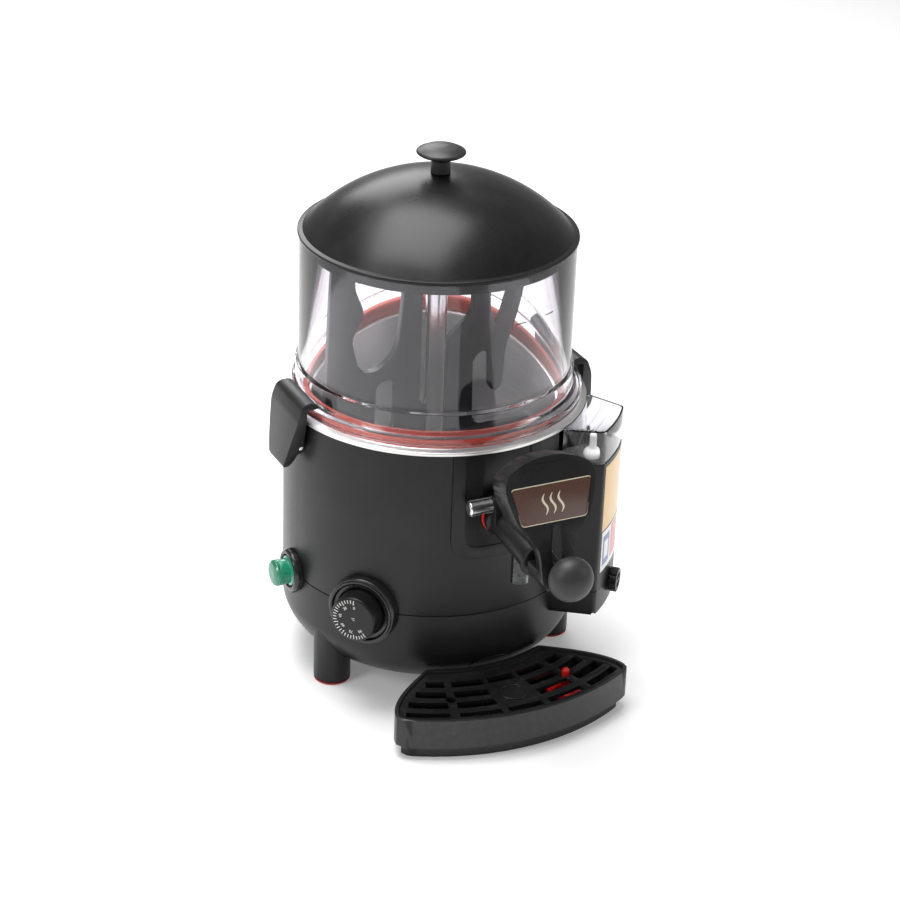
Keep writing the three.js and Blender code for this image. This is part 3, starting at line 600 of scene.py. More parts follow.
def ring_tool(inner, outer, low, high):
    return turned("tool", [(inner, low), (outer, low), (outer, high), (inner, high)], closed=True,
                  facets=ROUND_CUT)


front = plate("front_plate_moulding", arched(PLATE_HALF, plate_bottom, 20), 90, 140, facing(0))
worked(front, ring_tool(BODY_R + FIT, BODY_R + 2.15, plate_bottom - 5, shell_top + 1), "INTERSECT")
sunk = plate("tool", arched(PLATE_HALF - 11, plate_bottom + 11, 13), 90, 141, facing(0))
worked(sunk, ring_tool(BODY_R + 1.25, BODY_R + 9, plate_bottom - 8, shell_top + 9), "INTERSECT")
worked(front, sunk)
worked(front, disc_tool(TAP_HOLE_R, 100, 150, facing(0, TAP_Z), 64))
softened(front, 0.45)
finished(front, satin_black, "housing", "black_plastic", "front_plate")

# ---------------------------------------------------------------------------
# Tank: the stainless well that holds the drink. Its rolled flange lies on the
# body shell and shows all round as a narrow steel band. Spun and brushed.
# ---------------------------------------------------------------------------
def spun_lines():
    """Fine lines that a spinning or brushing tool leaves round the upright axis."""
    group, given, out = effect_group("spun_lines", [
        ("Lines", "NodeSocketFloat", 5200.0),
    ], [("Height", "NodeSocketFloat"), ("Streak", "NodeSocketFloat")])
    where = group.nodes.new("ShaderNodeTexCoord").outputs["Object"]
    moved = group.nodes.new("ShaderNodeVectorMath")
    moved.operation = "SUBTRACT"
    moved.inputs[1].default_value = axis
    group.links.new(where, moved.inputs[0])
    split = group.nodes.new("ShaderNodeSeparateXYZ")
    group.links.new(moved.outputs[0], split.inputs[0])
    turn = math_node(group, "ARCTAN2", split.outputs["Y"], split.outputs["X"])
    x2 = math_node(group, "MULTIPLY", split.outputs["X"], split.outputs["X"])
    y2 = math_node(group, "MULTIPLY", split.outputs["Y"], split.outputs["Y"])
    out_from_axis = math_node(group, "SQRT", math_node(group, "ADD", x2, y2))
    along = group.nodes.new("ShaderNodeCombineXYZ")
    group.links.new(math_node(group, "MULTIPLY", turn, 0.0012), along.inputs["X"])
    group.links.new(out_from_axis, along.inputs["Y"])
    group.links.new(split.outputs["Z"], along.inputs["Z"])
    fine = noise_node(group, along.outputs[0], given.outputs["Lines"], 3.0, 0.6)
    broad = noise_node(group, along.outputs[0], 700.0, 3.0, 0.6)
    group.links.new(fine, out.inputs["Height"])
    group.links.new(broad, out.inputs["Streak"])
    return group


spun_effect = spun_lines()


def steel(name, colour, roughness, lines=5200.0, strength=0.12):
    """Stainless steel: bright metal with turned lines, streaky gloss and faint finger marks."""
    paint = bpy.data.materials.new(name)
    paint.use_nodes = True
    tree = paint.node_tree
    shader = tree.nodes["Principled BSDF"]
    shader.inputs["Metallic"].default_value = 1
    spun = placed_group(tree, spun_effect, Lines=lines)
    where = tree.nodes.new("ShaderNodeTexCoord").outputs["Object"]
    marks = ramp_node(tree, noise_node(tree, where, 60.0, 5.0, 0.6), 0.45, 0.8)
    deep = tuple(channel * 0.8 for channel in colour)
    shade = mix_colour(tree, spun.outputs["Streak"], (*deep, 1), (*colour, 1))
    tree.links.new(shade, shader.inputs["Base Color"])
    streaky = math_node(tree, "MULTIPLY", spun.outputs["Streak"], 0.16)
    smudged = math_node(tree, "MULTIPLY", marks, 0.1)
    rough = math_node(tree, "ADD", math_node(tree, "ADD", streaky, smudged), roughness, clamp=True)
    tree.links.new(rough, shader.inputs["Roughness"])
    bump = tree.nodes.new("ShaderNodeBump")
    bump.inputs["Strength"].default_value = strength
    bump.inputs["Distance"].default_value = 0.02 * mm
    tree.links.new(spun.outputs["Height"], bump.inputs["Height"])
    tree.links.new(bump.outputs["Normal"], shader.inputs["Normal"])
    return paint


brushed_steel = steel("brushed_steel", (0.84, 0.83, 0.81), 0.26)
polished_steel = steel("polished_steel", (0.86, 0.85, 0.84), 0.08, 2600.0, 0.06)

tank_low, tank_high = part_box("tank")
tank_bottom, band_top = tank_low.z / mm, tank_high.z / mm
TANK_R = 105
TANK_WALL = 1.5
BEND_R = 22


def tank_bend(radius, steps=10):
    """The rounded corner between the tank's wall and its floor, from wall to floor."""
    points = []
    for i in range(steps + 1):
        turn = math.pi / 2 * (1 - i / steps)
        points.append((TANK_R - BEND_R + radius * math.sin(turn),
                       tank_bottom + BEND_R - radius * math.cos(turn)))
    return points


band_r = tank_high.x / mm - 0.05
tank_profile = [
    (12, tank_bottom + TANK_WALL), (30, tank_bottom + TANK_WALL + 0.6),
    *reversed(tank_bend(BEND_R - TANK_WALL)), (TANK_R - TANK_WALL, band_top - 1.4),
    (TANK_R - TANK_WALL + 0.5, band_top - 0.4), (TANK_R, band_top), (band_r - 0.9, band_top),
    (band_r - 0.2, band_top - 0.4), (band_r, band_top - 1.2), (band_r, shell_top + 1.2),
    (band_r - 0.4, shell_top + 0.45), (TANK_R + 1.5, shell_top + 0.4), (TANK_R, shell_top - 1),
    *tank_bend(BEND_R), (12, tank_bottom),
]
tank = turned("tank_spinning", tank_profile, closed=True, facets=192)
finished(tank, brushed_steel, "housing", "stainless", "tank")

# ---------------------------------------------------------------------------
# Gasket: the orange-red silicone ring between tank and bowl, a soft moulding
# with two sealing lips that shows through the clear flange.
# ---------------------------------------------------------------------------
silicone = plastic("silicone", (0.42, 0.042, 0.018), 0.5, grain=900, depth=0.05, wear=0.05,
                   dust=0.05)
gasket_low, gasket_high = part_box("gasket")
g_low, g_high = gasket_low.z / mm, gasket_high.z / mm
gasket_profile = eased([
    (106.2, g_low), (110.9, g_low), (110.9, g_low + 2.6), (110.1, g_low + 3.4),
    (110.1, g_high - 2.8), (110.9, g_high - 2), (110.9, g_high), (107, g_high), (106.2, g_high - 2),
], 0.6, closed=True, steps=3)
gasket = turned("gasket_ring", gasket_profile, closed=True, facets=192)
finished(gasket, silicone, "housing", "silicone", "gasket")

# ---------------------------------------------------------------------------
# Bowl: one clear polycarbonate moulding, a straight tube on a stepped collar and
# a thick flange. The flange sits on the steel band and the clamps hold it down.
# ---------------------------------------------------------------------------
def clear_plastic(name, tint, roughness=0.02, ripple=0.12):
    """Clear moulding: real refraction for the eye, light passes to what lies behind it."""
    paint = bpy.data.materials.new(name)
    paint.use_nodes = True
    tree = paint.node_tree
    shader = tree.nodes["Principled BSDF"]
    shader.inputs["Base Color"].default_value = (*tint, 1)
    shader.inputs["Transmission Weight"].default_value = 1
    shader.inputs["IOR"].default_value = 1.5
    where = tree.nodes.new("ShaderNodeTexCoord").outputs["Object"]
    scuffs = ramp_node(tree, noise_node(tree, where, 90.0, 6.0, 0.7), 0.5, 0.85)
    rough = math_node(tree, "ADD", math_node(tree, "MULTIPLY", scuffs, 0.06), roughness)
    tree.links.new(rough, shader.inputs["Roughness"])
    bump = tree.nodes.new("ShaderNodeBump")
    bump.inputs["Strength"].default_value = ripple
    bump.inputs["Distance"].default_value = 0.2 * mm
    tree.links.new(noise_node(tree, where, 34.0, 1.0), bump.inputs["Height"])
    tree.links.new(bump.outputs["Normal"], shader.inputs["Normal"])
    lets_through = tree.nodes.new("ShaderNodeBsdfTransparent")
    lets_through.inputs["Color"].default_value = (*(0.5 + channel / 2 for channel in tint), 1)
    rays = tree.nodes.new("ShaderNodeLightPath")
    chosen = tree.nodes.new("ShaderNodeMixShader")
    tree.links.new(rays.outputs["Is Shadow Ray"], chosen.inputs[0])
    tree.links.new(shader.outputs[0], chosen.inputs[1])
    tree.links.new(lets_through.outputs[0], chosen.inputs[2])
    tree.links.new(chosen.outputs[0], tree.nodes["Material Output"].inputs["Surface"])
    return paint


clear_bowl = clear_plastic("clear_bowl", (0.955, 0.94, 0.985))
flange_low, rim_high = bowl_low.z / mm, bowl_high.z / mm
BOWL_R, BOWL_WALL, COLLAR_R, FLANGE_R, FLANGE_TOP = 116, 4, 118.5, 126.4, 256
bowl_profile = eased([
    (BOWL_R - BOWL_WALL, flange_low), (FLANGE_R - 3, flange_low), (FLANGE_R - 3, flange_low + 2.2),
    (FLANGE_R, flange_low + 2.2), (FLANGE_R, FLANGE_TOP), (COLLAR_R + 2.5, FLANGE_TOP),
    (COLLAR_R + 1.2, FLANGE_TOP + 2), (COLLAR_R, FLANGE_TOP + 3.2), (COLLAR_R, 273.6),
    (BOWL_R, 275.5), (BOWL_R, rim_high), (BOWL_R - BOWL_WALL, rim_high),
], 0.8, closed=True, steps=3)
bowl = turned("bowl_moulding", bowl_profile, closed=True, facets=192)
finished(bowl, clear_bowl, "housing", "clear_plastic", "bowl")

# Fill line: two short black strokes printed on the bowl in front.
ink = plastic("black_ink", (0.01, 0.01, 0.01), 0.5, wear=0, dust=0)
strokes = bmesh.new()
for start, end in ((8, 13), (24, 29)):
    row = []
    for i in range(9):
        turn = math.radians(start + (end - start) * i / 8)
        for z in (346.0, 347.0):
            r = (BOWL_R + 0.08) * mm
            row.append(strokes.verts.new((axis.x + r * math.sin(turn), axis.y - r * math.cos(turn),
                                          z * mm)))
    for i in range(0, 16, 2):
        strokes.faces.new((row[i], row[i + 2], row[i + 3], row[i + 1]))
fill_line = built("fill_line", strokes)
finished(fill_line, ink, "housing", "black_plastic")

# ---------------------------------------------------------------------------
# Stirrer drive: motor, gearbox, bracket, bushing and shaft under the tank, with
# the water jacket and its heater. All keep their built shape.
# ---------------------------------------------------------------------------
grey_moulding = plastic("grey_moulding", (0.045, 0.046, 0.05), 0.38, depth=0.03)
white_nylon = plastic("white_nylon", (0.74, 0.74, 0.7), 0.42, grain=1500, depth=0.02, wear=0.05)
for node_name, paint in (
    ("water_jacket", brushed_steel), ("heater_element", brushed_steel), ("motor", brushed_steel),
    ("motor_bracket", brushed_steel), ("gearbox", grey_moulding), ("drive_shaft", polished_steel),
    ("shaft_bushing", white_nylon), ("thermostat_body", white_nylon),
    ("switch_body", grey_moulding), ("lid_screw", brushed_steel), ("base_screw_1", brushed_steel),
    ("base_screw_2", brushed_steel), ("base_screw_3", brushed_steel),
):
    painted(node_name, paint)

# ---------------------------------------------------------------------------
# Stirrer: a flat dark grey moulding of upright bars and webs on a central hub.
# The bright steel tube through the hub carries it, and both turn on the shaft.
# ---------------------------------------------------------------------------
def upright(corners, radius, steps=6):
    return eased(corners, radius, closed=True, steps=steps)


STIRRER_OUTLINE = [
    (-76, 151), (76, 151), (95, 176), (95, 206), (36, 206), (36, 262), (53, 264), (53, 230),
    (65, 230), (69, 263), (82, 287), (96, 318), (96, 372), (76, 372), (76, 310), (61, 278), (53.5, 292),
    (53.5, 372), (36, 372), (36, 294), (23, 287), (11, 280), (11, 229), (-15, 229), (-15, 372),
    (-36, 372), (-33, 318), (-37, 284), (-45, 272), (-58, 266), (-72, 269), (-80, 298), (-69, 318),
    (-79, 340), (-79, 372), (-100, 372), (-100, 176),
]
stirrer_frame = plate("stirrer_moulding", upright(STIRRER_OUTLINE, 6), -3.5, 3.5, facing(0),
                      ease=1.2)
window = plate("tool", upright([(-56, 214), (-38, 214), (-38, 257), (-56, 257)], 9), -8, 8,
               facing(0))
worked(stirrer_frame, window)
softened(stirrer_frame, 0.7)
tube_low, tube_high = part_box("stirrer_tube")
TUBE_R = (tube_high.x - tube_low.x) / 2 / mm
tube_bottom, tube_top = tube_low.z / mm, tube_high.z / mm
worked(stirrer_frame, disc_tool(TUBE_R + 0.35, tube_bottom - 0.35, 300, facets=64))
hub = turned("tool", eased([(5.35, 150), (14, 150), (14, tube_bottom - 0.4),
                            (5.35, tube_bottom - 0.4)], 0.8, closed=True),
             closed=True, facets=64)
worked(stirrer_frame, disc_tool(13.9, 149.5, tube_bottom - 0.5, facets=64))
worked(stirrer_frame, hub, "UNION")
stirrer_grey = plastic("stirrer_grey", (0.02, 0.0205, 0.023), 0.34, depth=0.03)
finished(stirrer_frame, stirrer_grey, "stirrer", "dark_grey_plastic", "stirrer_frame")

tube_profile = eased([(TUBE_R - 1.5, tube_bottom), (TUBE_R, tube_bottom), (TUBE_R, tube_top),
                      (TUBE_R - 1.5, tube_top)], 0.4, closed=True)
stirrer_tube = turned("stirrer_tube_polished", tube_profile, closed=True, facets=64)
finished(stirrer_tube, polished_steel, "stirrer", "stainless", "stirrer_tube")

# ---------------------------------------------------------------------------
# Lid: a black spun-look dome with a narrow flat rim and a skirt that drops into
# the bowl. The mushroom knob screws on from above.
# ---------------------------------------------------------------------------
lid_black = plastic("lid_black", (0.0045, 0.0045, 0.005), 0.3, grain=3200, depth=0.02, shine=0.3)
RIM_Z = rim_high + 0.35
RIM_H = 3.5
LID_R = 117.5
DOME_R = 155.2
DOME_EDGE_R = 113
dome_centre = RIM_Z + RIM_H - math.sqrt(DOME_R ** 2 - DOME_EDGE_R ** 2)


def dome(edge, radius, steps=30):
    return [(edge * i / steps, dome_centre + math.sqrt(radius ** 2 - (edge * i / steps) ** 2))
            for i in range(steps + 1)]


SKIRT_IN, SKIRT_OUT = 108.6, BOWL_R - BOWL_WALL - 0.6
outside = dome(DOME_EDGE_R - 1.5, DOME_R)
outside.append((DOME_EDGE_R + 0.2, RIM_Z + RIM_H - 0.1))
rim_line = eased([(DOME_EDGE_R + 0.2, RIM_Z + RIM_H - 0.1), (LID_R, RIM_Z + RIM_H - 0.8),
                  (LID_R, RIM_Z), (SKIRT_OUT, RIM_Z), (SKIRT_OUT, RIM_Z - 10),
                  (SKIRT_IN, RIM_Z - 10), (SKIRT_IN, dome(SKIRT_IN, DOME_R - 2.5)[-1][1])], 0.9)
inside = dome(SKIRT_IN, DOME_R - 2.5)[::-1]
lid = turned("lid_moulding", [*outside, *rim_line[1:-1], *inside], facets=192)
finished(lid, lid_black, "lid", "black_plastic", "lid")

knob_low, knob_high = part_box("lid_knob")
k_low, k_high = knob_low.z / mm, knob_high.z / mm
lid_knob = turned("lid_knob_moulding", eased([
    (0, k_low), (8.4, k_low), (8.3, k_low + 1.2), (8.1, k_low + 2.6), (8, k_high - 12.4),
    (10, k_high - 10.4), (18.4, k_high - 8.6), (20.9, k_high - 6.6), (20.2, k_high - 4.8),
    (14, k_high - 1.9), (6, k_high - 0.3), (0, k_high),
], 1.6, steps=4), facets=96)
knob_black = plastic("knob_black", (0.012, 0.011, 0.011), 0.42, grain=2000, depth=0.015, wear=0.2)
finished(lid_knob, knob_black, "lid", "black_plastic", "lid_knob")

# ---------------------------------------------------------------------------
# Clamps: two black levers, left and right, that hook over the bowl's flange.
# Each turns on a steel pin in a lug on the body and flares out for the fingers.
# ---------------------------------------------------------------------------
clamp_black = plastic("clamp_black", (0.0055, 0.0055, 0.006), 0.42, grain=1700, depth=0.05,
                      wear=0.35)
PIVOT_OUT, PIVOT_Z = 131, 219
CLAMP_SIDE = [
    (119.5, 257), (119.6, 260.6), (124, 262.3), (129, 262.2), (133.5, 259.4), (137.5, 248),
    (141, 230), (144.6, 208), (145.3, 203), (143.6, 199.8), (140, 200), (136, 207), (133.6, 214),
    (129.6, 214), (129.6, 256.6), (127, 257),
]
CLAMP_FRONT = [(-13, 197), (13, 197), (20, 214), (30, 249), (27.5, 265), (-27.5, 265), (-30, 249),
               (-20, 214)]


def side_on(beta):
    """Frame for a side view at beta: x outward, y up, z along the body."""
    turn = math.radians(beta)
    return Matrix((
        (math.sin(turn), 0, -math.cos(turn), axis.x),
        (-math.cos(turn), 0, -math.sin(turn), axis.y),
        (0, 1, 0, 0),
        (0, 0, 0, 1),
    ))


def round_bar(radius, low, high, out, z, beta, facets=48):
    """A bar along the body at a station, for pins and bores."""
    here = side_on(beta) @ Matrix.Translation(Vector((out, z, 0)) * mm)
    return disc_tool(radius, low, high, here, facets)


for side, beta in (("left", -90), ("right", 90)):
    lever = plate(f"clamp_{side}_moulding", eased(CLAMP_SIDE, 2.4, closed=True, steps=5), -31, 31,
                  side_on(beta))
    front_view = eased(CLAMP_FRONT, [12, 12, 8, 9, 7, 7, 9, 8], closed=True, steps=6)
    worked(lever, plate("tool", front_view, 100, 160, facing(beta), ease=0), "INTERSECT")
    worked(lever, disc_tool(BODY_R + 0.9, 190, band_top + 0.35))
    worked(lever, disc_tool(FLANGE_R + 0.6, 240, FLANGE_TOP + 0.7))
    worked(lever, disc_tool(COLLAR_R + 0.9, 250, 270))
    softened(lever, 1.3, 3, 50)
    pocket = plate("tool", [(-11, 206), (11, 206), (11, 229), (-11, 229)], 120, 138.2, facing(beta))
    worked(lever, pocket)
    worked(lever, round_bar(2.1, -40, 40, PIVOT_OUT, PIVOT_Z, beta))
    finished(lever, clamp_black, f"clamp_{side}_lever", "black_plastic", f"clamp_{side}")
    painted(f"clamp_lug_{side}", clamp_black)
    pin = round_bar(2, -20, 20, PIVOT_OUT, PIVOT_Z, beta)
    pin.name = f"clamp_pin_{side}_steel"
    finished(pin, polished_steel, "housing", "stainless", f"clamp_pin_{side}")

# ---------------------------------------------------------------------------
# Thermostat: a stepped black bezel fitted round the body across the seam, and a
# knob with white ticks and degrees on its face. The knob turns on its spindle.
# ---------------------------------------------------------------------------
dial_here = facing(DIAL_BETA, SEAM_Z)
bezel = turned("thermostat_bezel_moulding", eased([
    (22, 120), (30.5, 120), (30.5, 134.6), (29.6, 135.6), (28.4, 135.6), (28.4, 137.4),
    (26.2, 137.4), (25.2, 135), (22, 135),
], 0.6, closed=True, steps=3), dial_here, closed=True, facets=96)
worked(bezel, body_tool(FIT, 40, 140))
pointer = plate("tool", [(-0.5, 22.6), (0.5, 22.6), (0.5, 25.4), (-0.5, 25.4)], 134, 135.6,
                dial_here)
worked(bezel, pointer, "UNION")
gloss_black = plastic("gloss_black", (0.010, 0.010, 0.0105), 0.22, grain=2400, depth=0.012,
                      wear=0.3)
finished(bezel, gloss_black, "housing", "black_plastic", "thermostat_bezel")

DIAL_FACE = 151
dial_knob = turned("thermostat_knob_moulding", eased([
    (0, 116), (3, 116), (3, 132), (20.9, 132), (20.9, 134), (20.4, 149.6), (19.2, DIAL_FACE),
    (0, DIAL_FACE),
], 1.0, steps=4), dial_here, facets=96)
finished(dial_knob, satin_black, "thermostat_dial", "black_plastic", "thermostat_knob")

white_print = plastic("white_print", (0.82, 0.82, 0.8), 0.5, grain=1500, depth=0.01, wear=0, dust=0)
marks = bmesh.new()
TICK_FROM, TICK_TO, TICK_COUNT = 88, 312, 25
for i in range(TICK_COUNT):
    turn = math.radians(TICK_FROM + (TICK_TO - TICK_FROM) * i / (TICK_COUNT - 1))
    along = Vector((math.cos(turn), math.sin(turn)))
    across = Vector((-along.y, along.x))
    inner = 14.2 if i % 4 == 0 else 15.2
    corners = [along * inner - across * 0.32, along * 18.2 - across * 0.32,
               along * 18.2 + across * 0.32, along * inner + across * 0.32]
    low = [marks.verts.new((c.x * mm, c.y * mm, (DIAL_FACE + 0.02) * mm)) for c in corners]
    high = [marks.verts.new((c.x * mm, c.y * mm, (DIAL_FACE + 0.12) * mm)) for c in corners]
    marks.faces.new(low[::-1])
    marks.faces.new(high)
    for k in range(4):
        marks.faces.new((low[k], low[(k + 1) % 4], high[(k + 1) % 4], high[k]))
marks.transform(dial_here)
ticks = built("thermostat_ticks", marks)
finished(ticks, white_print, "thermostat_dial", "white_plastic")


def printed(name, words, size, here, thickness=0.1):
    """Raised print: generic figures made from the built-in font, as a mesh."""
    curve = bpy.data.curves.new(name, "FONT")
    curve.body = words
    curve.size = size * mm
    curve.extrude = thickness / 2 * mm
    curve.align_x = "CENTER"
    curve.align_y = "CENTER"
    holder = bpy.data.objects.new("tool", curve)
    scene.collection.objects.link(holder)
    graph = bpy.context.evaluated_depsgraph_get()
    mesh = bpy.data.meshes.new_from_object(holder.evaluated_get(graph))
    bpy.data.objects.remove(holder)
    mesh.transform(here)
    piece = bpy.data.objects.new(name, mesh)
    scene.collection.objects.link(piece)
    return piece


for i, figure in enumerate(("0", "30", "45", "60", "75", "90")):
    turn = math.radians(TICK_FROM - 4 + (TICK_TO - TICK_FROM) * i / 5)
    spot = Vector((11.4 * math.cos(turn), 11.4 * math.sin(turn), DIAL_FACE + 0.07)) * mm
    figure_here = dial_here @ Matrix.Translation(spot) @ Matrix.Rotation(turn - math.pi / 2, 4, "Z")
    number = printed(f"thermostat_figure_{i + 1}", figure, 3.6, figure_here)
    finished(number, white_print, "thermostat_dial", "white_plastic")
unit = printed("thermostat_unit", "°C", 3.2,
               dial_here @ Matrix.Translation(Vector((0.5, 0.5, DIAL_FACE + 0.07)) * mm))
finished(unit, white_print, "thermostat_dial", "white_plastic")

# ---------------------------------------------------------------------------
# Power switch: a green push button under a clear splash cap, in a black collar
# with a small tab on the seam. It sinks 2.5 mm when pressed.
# ---------------------------------------------------------------------------
switch_here = facing(SWITCH_BETA, SWITCH_Z)
collar = turned("switch_collar", eased([
    (14, 120), (18.9, 120), (18.9, 132.2), (17.6, 134.6), (15, 134.8), (14, 133),
], 0.7, closed=True, steps=3), switch_here, closed=True, facets=72)
worked(collar, plate("tool", eased([(-4, -21), (4, -21), (4, -16), (-4, -16)], 1, closed=True),
                     125, 131.5, switch_here), "UNION")
worked(collar, body_tool(FIT, 60, 140))
finished(collar, gloss_black, "housing", "black_plastic", "switch_bezel")

green_lens = plastic("green_lens", (0.0, 0.27, 0.15), 0.16, grain=700, depth=0.03, wear=0.05,
                     coat=0.6)
lens = turned("switch_lens_green", eased([
    (0, 120), (9, 120), (9, 131.6), (13.3, 131.6), (13.3, 134), (11, 135), (11, 143.2), (10.2, 144),
    (0, 144),
], 0.5, steps=3), switch_here, facets=72)
finished(lens, green_lens, "power_button", "green_lens", "switch_lens")
splash_clear = clear_plastic("splash_clear", (0.86, 0.93, 0.9), 0.2, 0.4)
splash = turned("switch_splash_cap", eased([
    (11.1, 141), (11.6, 141), (11.6, 146.4), (10, 148.4), (6, 149.3), (0, 149.5), (0, 148.8),
    (6, 148.6), (9.6, 147.8), (11.1, 146),
], 0.3, steps=3), switch_here, facets=72)
finished(splash, splash_clear, "power_button", "green_lens")

# ---------------------------------------------------------------------------
# Tap: a black barrel that slopes down out of the body, with a red root seal, a
# closing cap and a smoked spout under it. It unscrews from the tank for cleaning.
# ---------------------------------------------------------------------------
TAP_OUT, TAP_ROOT_Z, TAP_LENGTH = 121, 186, 79.5
TAP_TILT = math.radians(6.6)
TAP_R, TAP_CAP_R = 13, 14.6
PIVOT_TAP_OUT, PIVOT_TAP_Z = 141, 201.5
SPOUT_OUT, SPOUT_BOTTOM = 171.7, 143.4


def tap_height(out):
    return TAP_ROOT_Z - (out - TAP_OUT) * math.tan(TAP_TILT)


tap_here = (facing(0, TAP_ROOT_Z) @ Matrix.Translation(Vector((0, 0, TAP_OUT)) * mm)
            @ Matrix.Rotation(TAP_TILT, 4, "X"))
red_seal = plastic("red_seal", (0.5, 0.012, 0.01), 0.42, grain=900, depth=0.05, wear=0.05,
                   dust=0.03)
seal = turned("tap_seal_ring", eased([(14, 120), (15.9, 120), (15.9, 132.4), (14, 132.4)], 0.5,
                                     closed=True), facing(0, tap_height(132.4)), closed=True,
              facets=72)
worked(seal, body_tool(2.6, 150, 220))
finished(seal, red_seal, "housing", "silicone", "tap_seal")

barrel = turned("tap_barrel_moulding", eased([
    (0, 0), (TAP_R, 0), (TAP_R, 13.2), (15.4, 13.4), (15.4, 18), (TAP_R, 19.4),
    (TAP_R, TAP_LENGTH - 3), (0, TAP_LENGTH - 3),
], 0.8, steps=3), tap_here, facets=72)
# Frame on the pivot pin: x towards the user, y up and z along the pin.
cross = Matrix.Translation(axis) @ Matrix(((0, 0, 1, 0), (-1, 0, 0, -PIVOT_TAP_OUT * mm),
                                           (0, 1, 0, PIVOT_TAP_Z * mm), (0, 0, 0, 1)))
for x in (-10.2, 10.2):
    ear = plate("tool", eased([(-8, -22), (8, -22), (8, 0), (5.7, 5.7), (0, 8), (-5.7, 5.7),
                               (-8, 0)],
                              [0, 0, 3, 3.4, 3.4, 3.4, 3], closed=True, steps=5), x - 2.8, x + 2.8, cross,
                ease=0.8)
    worked(barrel, ear, "UNION")
worked(barrel, disc_tool(6.5, -1, 59, tap_here, 48))
worked(barrel, disc_tool(8.2, -7.2, 7.2, cross, 48))
worked(barrel, disc_tool(2.6, -40, 40, cross, 32))
spout_here = Matrix.Translation(axis + Vector((0, -SPOUT_OUT, 0)) * mm)
worked(barrel, disc_tool(5.6, SPOUT_BOTTOM - 1, tap_height(SPOUT_OUT), spout_here, 48))
worked(barrel, disc_tool(2.9, 170, 200, spout_here, 32))
worked(barrel, disc_tool(4.7, 189.6, 200, spout_here, 32))
finished(barrel, satin_black, "housing", "black_plastic", "tap_barrel")

smoked = clear_plastic("smoked_plastic", (0.16, 0.17, 0.17), 0.1, 0.15)
spout = turned("tap_spout", eased([
    (5.6, SPOUT_BOTTOM), (7.5, SPOUT_BOTTOM), (7.5, tap_height(SPOUT_OUT) - 11.4),
    (5.6, tap_height(SPOUT_OUT) - 11.4),
], 0.5, closed=True), spout_here, closed=True, facets=64)
finished(spout, smoked, "housing", "black_plastic")

end_cap = turned("tap_end_cap_moulding", eased([
    (0, TAP_LENGTH - 2.65), (TAP_CAP_R - 0.4, TAP_LENGTH - 2.65), (TAP_CAP_R, TAP_LENGTH - 2),
    (TAP_CAP_R, TAP_LENGTH + 1), (TAP_CAP_R - 1, TAP_LENGTH + 2), (0, TAP_LENGTH + 2),
], 0.6, steps=3), tap_here, facets=72)
finished(end_cap, satin_black, "housing", "black_plastic", "tap_end_cap")

painted("tap_plunger", white_nylon)

# The pivot pin: bright steel, its left end thick and knurled for the fingers.
KNURLS = 30
knurled = []
for i in range(KNURLS * 4):
    turn = 2 * math.pi * i / (KNURLS * 4)
    radius = 6.4 if i % 4 in (0, 1) else 5.95
    knurled.append((radius * math.cos(turn), radius * math.sin(turn)))
pin = plate("tap_pin_steel", knurled, -32.6, -13.6, cross, ease=0, sharp=20)
collar_end = turned("tool", eased([(0, -34), (4.9, -34), (6.1, -32.9), (6.1, -32), (0, -32)], 0.7,
                                  steps=3), cross, facets=64)
worked(pin, collar_end, "UNION", sharp=25)
worked(pin, disc_tool(2.5, -15, 16, cross, 32), "UNION", sharp=25)
finished(pin, polished_steel, "housing", "stainless", "tap_pin")

# ---------------------------------------------------------------------------
# Tap lever: a hub on the pivot pin and a round arm that passes under the hood and
# out through its slot, to a large soft-touch ball knob. Lifting it opens the tap.
# ---------------------------------------------------------------------------
KNOB_OUT, KNOB_Z = 256.6, 189
BALL_R, BALL_HALF_LENGTH = 18.5, 15.7
reach = KNOB_OUT - PIVOT_TAP_OUT
slope = math.atan2(PIVOT_TAP_Z - KNOB_Z, reach)
arm_here = (facing(0, PIVOT_TAP_Z) @ Matrix.Translation(Vector((0, 0, PIVOT_TAP_OUT)) * mm)
            @ Matrix.Rotation(slope, 4, "X"))
arm_profile = eased([(0, 0), (3, 0), (3, reach - 6), (0, reach - 6)], 0.5)
lever = turned("tap_lever_moulding", arm_profile, arm_here, facets=48)
worked(lever, turned("tool", eased([(0, -6.8), (5.6, -6.8), (5.6, 6.8), (0, 6.8)], 0.6), cross,
                     facets=48), "UNION")
worked(lever, disc_tool(2.7, -10, 10, cross, 32))
finished(lever, satin_black, "tap_handle", "black_plastic", "tap_lever")

soft_black = plastic("soft_touch_black", (0.021, 0.021, 0.022), 0.5, grain=1500, depth=0.03,
                     wear=0.15)
ball = []
BALL_ROWS = 28
for i in range(BALL_ROWS + 1):
    turn = math.pi * i / BALL_ROWS
    ball.append((BALL_R * math.sin(turn), -BALL_HALF_LENGTH * math.cos(turn)))
ball_here = facing(0, KNOB_Z) @ Matrix.Translation(Vector((0, 0, KNOB_OUT)) * mm)
ball[0], ball[-1] = (0, -BALL_HALF_LENGTH), (0, BALL_HALF_LENGTH)
lever_knob = turned("lever_knob_ball", ball, ball_here, facets=96)
socket = turned("tool", [(0, -30), (3.4, -30), (3.4, reach - 5.6), (0, reach - 5.6)], arm_here,
                facets=48)
worked(lever_knob, socket)
finished(lever_knob, soft_black, "tap_handle", "black_plastic", "lever_knob")

